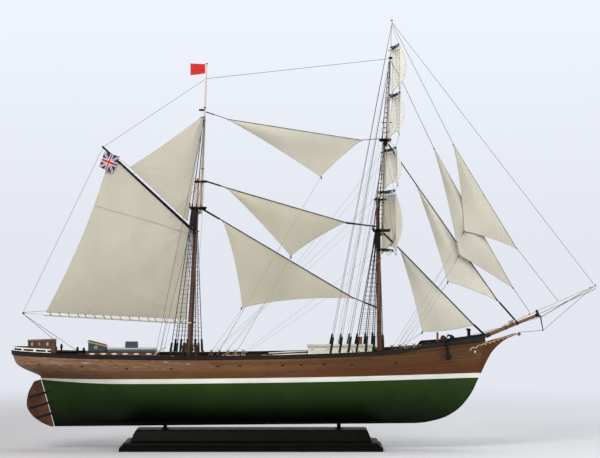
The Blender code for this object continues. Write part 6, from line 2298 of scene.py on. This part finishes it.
    # sheets and halyards of the fore-and-aft sails: where the sheets end, along the ship and to a side
    leads = {
        "flying_jib": (216.0, 58.0), "outer_jib": (222.0, 57.0), "inner_jib": (229.0, 56.0),
        "fore_staysail": (225.0, 56.0), "upper_staysail": (-49.0, 60.0), "middle_staysail": (-22.0, 60.0),
        "main_staysail": (-61.0, 60.0),
    }
    b, woods = Build(), Build()
    for name, (x, y) in leads.items():
        head, tack, clew = (Vector(p) for p in TRIANGLES[name][:3])
        for side in SIDES:
            end = V(x, side * min(y, side_at(x, 1.0) - 4.0), rail_top(x) + 1.5)
            b.tube(between(clew + V(0, 0.6 * side, -0.8), end, 6, 1.0), 0.2, 5)
        block_and_strop(woods, clew + (clew - (head + tack) / 2).normalized() * 2.6, (0, 0, 1), 1.5)
    b.done("fore_and_aft_sheets", "hemp_grey", smooth=60)
    woods.done("sheet_blocks", "bowsprit", slot="dark_wood", smooth=50)
    b = Build()
    for top, foot in (
        (V(-68.5, -1.5, 505), V(-92.0, -55.0, 149)), (V(-70, 3, 404), V(-88.0, 56.0, 149)),
        (V(-78, -3, 403), V(-100, 58.0, 149)),
        (V(204, -2, 466), V(186.0, -56.0, 156)), (V(208.5, 1.5, 588), V(178.0, 56.0, 156)),
    ):
        b.tube(between(top, foot, 8, 0.8), 0.2, 5)
    b.done("halyards", "hemp_grey", smooth=60)

    # lines to boom and gaff
    boom_end, gaff_end = V(-340.5, 0, 209.5), V(-220.5, 0, 456.5)
    line(
        "peak_halyard_lower", between((-79.0, 0, 404.0), GAFF[0].lerp(GAFF[1], 0.36) + V(0, 0, 2.4), 6), 0.24,
        "thread", HULL, BOOM, [((-80.5, 0, 402.5), (0.4, 0, 1))]
    )
    line(
        "peak_halyard_upper", between((-77.0, 0, 409.5), GAFF[0].lerp(GAFF[1], 0.66) + V(0, 0, 2.2), 6), 0.24,
        "thread", HULL, BOOM, [((-79.0, 0, 409.0), (0.6, 0, -0.2))]
    )
    line(
        "throat_halyard", between((-85.0, 0, 365.0), (-91.0, 0, 338.0), 4), 0.3, "thread", HULL, BOOM,
        [((-86.5, 0, 359.0), (0, 0, 1)), ((-89.8, 0, 343.0), (0, 0, 1))]
    )
    line("peak_stay", between((-66.9, 0, 560.0), gaff_end + V(0, 0, 1.5), 10), 0.26, "thread", HULL, BOOM)
    b = Build()
    b.tube(between(boom_end + V(-0.5, 0, 1.0), gaff_end + V(-1.5, 0, -0.5), 8, 0.0), 0.26, 6)
    b.tube(between(V(-307.0, 0, 211.5), boom_end, 4, 0.0), 0.24, 6)
    b.tube(between(V(-212.1, 0, 443.2), gaff_end, 3, 0.0), 0.24, 6)
    b.tube([V(-221.0, -5.9, 452.0), V(-220.0, -1.2, 456.0)], 0.18, 5)
    b.tube([V(-181.0, 0, 427.0), V(-219.0, 0, 455.0)], 0.22, 5)
    b.done("boom_and_gaff_lines", "thread", BOOM, smooth=60)
    for word, foot in (("fore", V(-262.5, 0, 153.0)), ("aft", V(-297.0, 0, 170.0))):
        line(f"main_sheet_{word}", between(foot, (-341.0, 0, 206.6), 6), 0.36, "tarred", HULL, BOOM)
    for word, side in NAMED_SIDES:
        line(
            f"topping_lift_{word}",
            between((-77.0, side * 3.5, 402.0), MAIN_BOOM[0].lerp(MAIN_BOOM[1], 0.62) + V(0, side * 1.8, 1.0), 8),
            0.18, "hemp_grey", HULL, BOOM
        )

    # lifts and braces of the yards: where the lift leaves the mast, where the brace ends aft, and its sag
    yard_lines = {
        "fore_yard": ((194, 0, 378), (-8.0, 64.0, 150.0), 2.0),
        "lower_topsail_yard": ((200.5, 0, 455), (-57.0, 65.0, 149.0), 2.0),
        "upper_topsail_yard": ((203.0, 0, 470), (-38.0, 65.0, 149.0), 2.0),
        "topgallant_yard": ((209.5, 0, 590), (142.0, 66.0, 152.5), 1.0),
        "royal_yard": ((211.2, 0, 640), (128.0, 66.0, 152.0), 1.0),
    }
    for (name, (lift, aft, sag)), (word, side) in itertools.product(yard_lines.items(), NAMED_SIDES):
        arm = yard_point(name, side * YARD_ARM, 1.0)
        line(f"{name}_lift_{word}", between(V(*lift) + V(0, side * 2.0, 0), arm, 6), 0.2, "thread", HULL, name)
        start, end = V(aft[0], side * aft[1], aft[2]), yard_point(name, side * YARD_ARM, -0.6, -0.8)
        pulley = (yard_point(name, side * YARD_ARM, -0.8, -3.0), (-1, 0, -0.1))
        line(f"{name}_brace_{word}", between(start, end, 10, sag), 0.2, "faint", HULL, name, [pulley])
    # sheets from each square sail's clew to the yard below, bound to the sail's own yard
    below = {
        "lower_topsail": "fore_yard", "upper_topsail": "lower_topsail_yard", "topgallant_sail": "upper_topsail_yard",
        "royal_sail": "topgallant_yard"
    }
    for name, (yard, head, foot, _, _) in SQUARES.items():
        b = Build()
        for side in SIDES:
            clew = V(foot[0] - side * foot[2] * math.sin(YARD_BRACE), side * foot[2], foot[1])
            arm = yard_point(below[name], side * 0.93, 0.6)
            if (arm - clew).length > 3:
                b.tube([clew, arm], 0.24, 6)
            b.tube(between(clew + V(-1.0, 0, 0), yard_point(yard, side * 0.25, -1.5, -1.5), 6, 1.0), 0.16, 5)
            b.ring(clew, (1, 0, 0), 1.3, 0.35, 12, 5)
        b.done(name + "_sheets", "thread", yard, smooth=60)


# ---------------------------------------------------------------- stage


FLOOR_SIDES = 64


def make_stage():
    """The pale room: its paper and light, the floor that fades into it, the lamps and the camera."""
    scene = bpy.context.scene
    scene.view_settings.view_transform = "Standard"
    low, high = (0.775, 0.800, 0.872), (0.872, 0.905, 0.985)
    world = bpy.data.worlds.new("studio")
    scene.world = world
    world.use_nodes = True
    nodes, links = world.node_tree.nodes, world.node_tree.links
    lit = nodes["Background"]
    lit.inputs["Color"].default_value = (0.93, 0.96, 1.0, 1.0)
    lit.inputs["Strength"].default_value = 0.42
    seen, coordinates, split, rise, paper, path, choose = (nodes.new("ShaderNode" + kind) for kind in (
        "Background", "TexCoord", "SeparateXYZ", "MapRange", "Mix", "LightPath", "MixShader"))
    rise.interpolation_type = "SMOOTHSTEP"
    rise.inputs["From Min"].default_value = -0.02
    rise.inputs["From Max"].default_value = 0.10
    paper.data_type = "RGBA"
    paper.inputs[6].default_value = (*low, 1.0)
    paper.inputs[7].default_value = (*high, 1.0)
    for source, socket in (
        (coordinates.outputs["Generated"], split.inputs[0]),
        (split.outputs["Z"], rise.inputs["Value"]),
        (rise.outputs[0], paper.inputs[0]),
        (paper.outputs[2], seen.inputs["Color"]),
        (path.outputs["Is Camera Ray"], choose.inputs[0]),
        (lit.outputs[0], choose.inputs[1]),
        (seen.outputs[0], choose.inputs[2]),
        (choose.outputs[0], nodes["World Output"].inputs["Surface"]),
    ):
        links.new(source, socket)

    made = Shader("pale_floor", 0.9, Specular_IOR_Level=0.0, Emission_Strength=1.0)
    distance = made.nodes.new("ShaderNodeVectorMath")
    distance.operation = "LENGTH"
    made.links.new(made.coordinates.outputs["Object"], distance.inputs[0])
    away = made.span(distance.outputs["Value"], 0.55, 1.7, smooth=True)
    near = made.mix(made.span(made.axis("X"), -0.40, 0.35), (0.47, 0.46, 0.475), (0.60, 0.61, 0.635))
    made.colour(made.mix(away, near, (0.0, 0.0, 0.0)))
    glow = made.mix(away, (0.0, 0.0, 0.0), low)
    made.links.new(glow, made.shader.inputs["Emission Color"])
    b = bmesh.new()
    rings = []
    for radius in (0.4, 0.8, 1.4, 2.5, 5.0, 9.0):
        rings.append([b.verts.new(p) for p in round_points(V(0, 0, 0), V(1, 0, 0), V(0, 1, 0), radius, FLOOR_SIDES)])
    b.faces.new(rings[0])
    for inner, outer in zip(rings, rings[1:]):
        for k in range(FLOOR_SIDES):
            j = (k + 1) % FLOOR_SIDES
            b.faces.new((inner[k], outer[k], outer[j], inner[j]))
    bmesh.ops.recalc_face_normals(b, faces=b.faces)
    mesh = bpy.data.meshes.new("studio_floor")
    b.to_mesh(mesh)
    b.free()
    if mesh.polygons[0].normal.z < 0:
        mesh.flip_normals()
    mesh.materials.append(made.material)
    floor = bpy.data.objects.new("studio_floor", mesh)
    scene.collection.objects.link(floor)

    for name, place, aim, size, power, colour in (
        ("key_light", (-1.2, -2.2, 2.3), (0.0, 0.0, 0.25), 1.5, 60.0, (1.0, 0.97, 0.92)),
        ("fill_light", (1.9, -2.6, 1.2), (0.1, 0.0, 0.3), 1.8, 26.0, (0.94, 0.96, 1.0)),
        ("bow_light", (2.8, -0.7, 1.1), (0.2, 0.0, 0.4), 1.4, 32.0, (1.0, 0.99, 0.96)),
        ("stern_light", (-2.6, -0.5, 1.2), (0.1, 0.0, 0.4), 1.4, 25.0, (1.0, 0.98, 0.94)),
        ("top_light", (0.2, 0.6, 2.4), (0.0, 0.0, 0.1), 1.8, 22.0, (1.0, 1.0, 1.0)),
    ):
        light = bpy.data.lights.new(name, "AREA")
        light.shape, light.size, light.energy, light.color = "DISK", size, power, colour
        lamp = bpy.data.objects.new(name, light)
        lamp.location = place
        lamp.rotation_euler = (Vector(aim) - Vector(place)).to_track_quat("-Z", "Y").to_euler()
        scene.collection.objects.link(lamp)

    camera = bpy.data.cameras.new("camera")
    camera.lens, camera.sensor_width = 160.0, 36.0
    camera.clip_start, camera.clip_end = 0.05, 50.0
    eye = bpy.data.objects.new("camera", camera)
    eye.location = (0.0738, -4.0, 0.3297)
    eye.rotation_euler = (math.radians(90), 0, 0)
    scene.collection.objects.link(eye)
    scene.camera = eye


def dress_frames():
    """The inner frames stay as they are, in plywood."""
    frames = frame["nodes"]["inner_frames"]
    frames.data.materials.clear()
    frames.data.materials.append(wood("plywood_frames", (0.34, 0.21, 0.10), (0.52, 0.36, 0.19), (1.0, 1.0, 9.0), 0.7))


make_stage()
make_stand()
make_hull()
make_scuppers()
make_bulwarks()
make_railing()
make_decks()
make_rudder()
make_houses()
make_pin_rails()
make_waist()
make_forecastle()
make_anchors()
make_masts()
make_tops()
make_yards()
make_triangles()
make_squares()
make_gaff_sails()
make_flags()
make_rigging()
dress_frames()
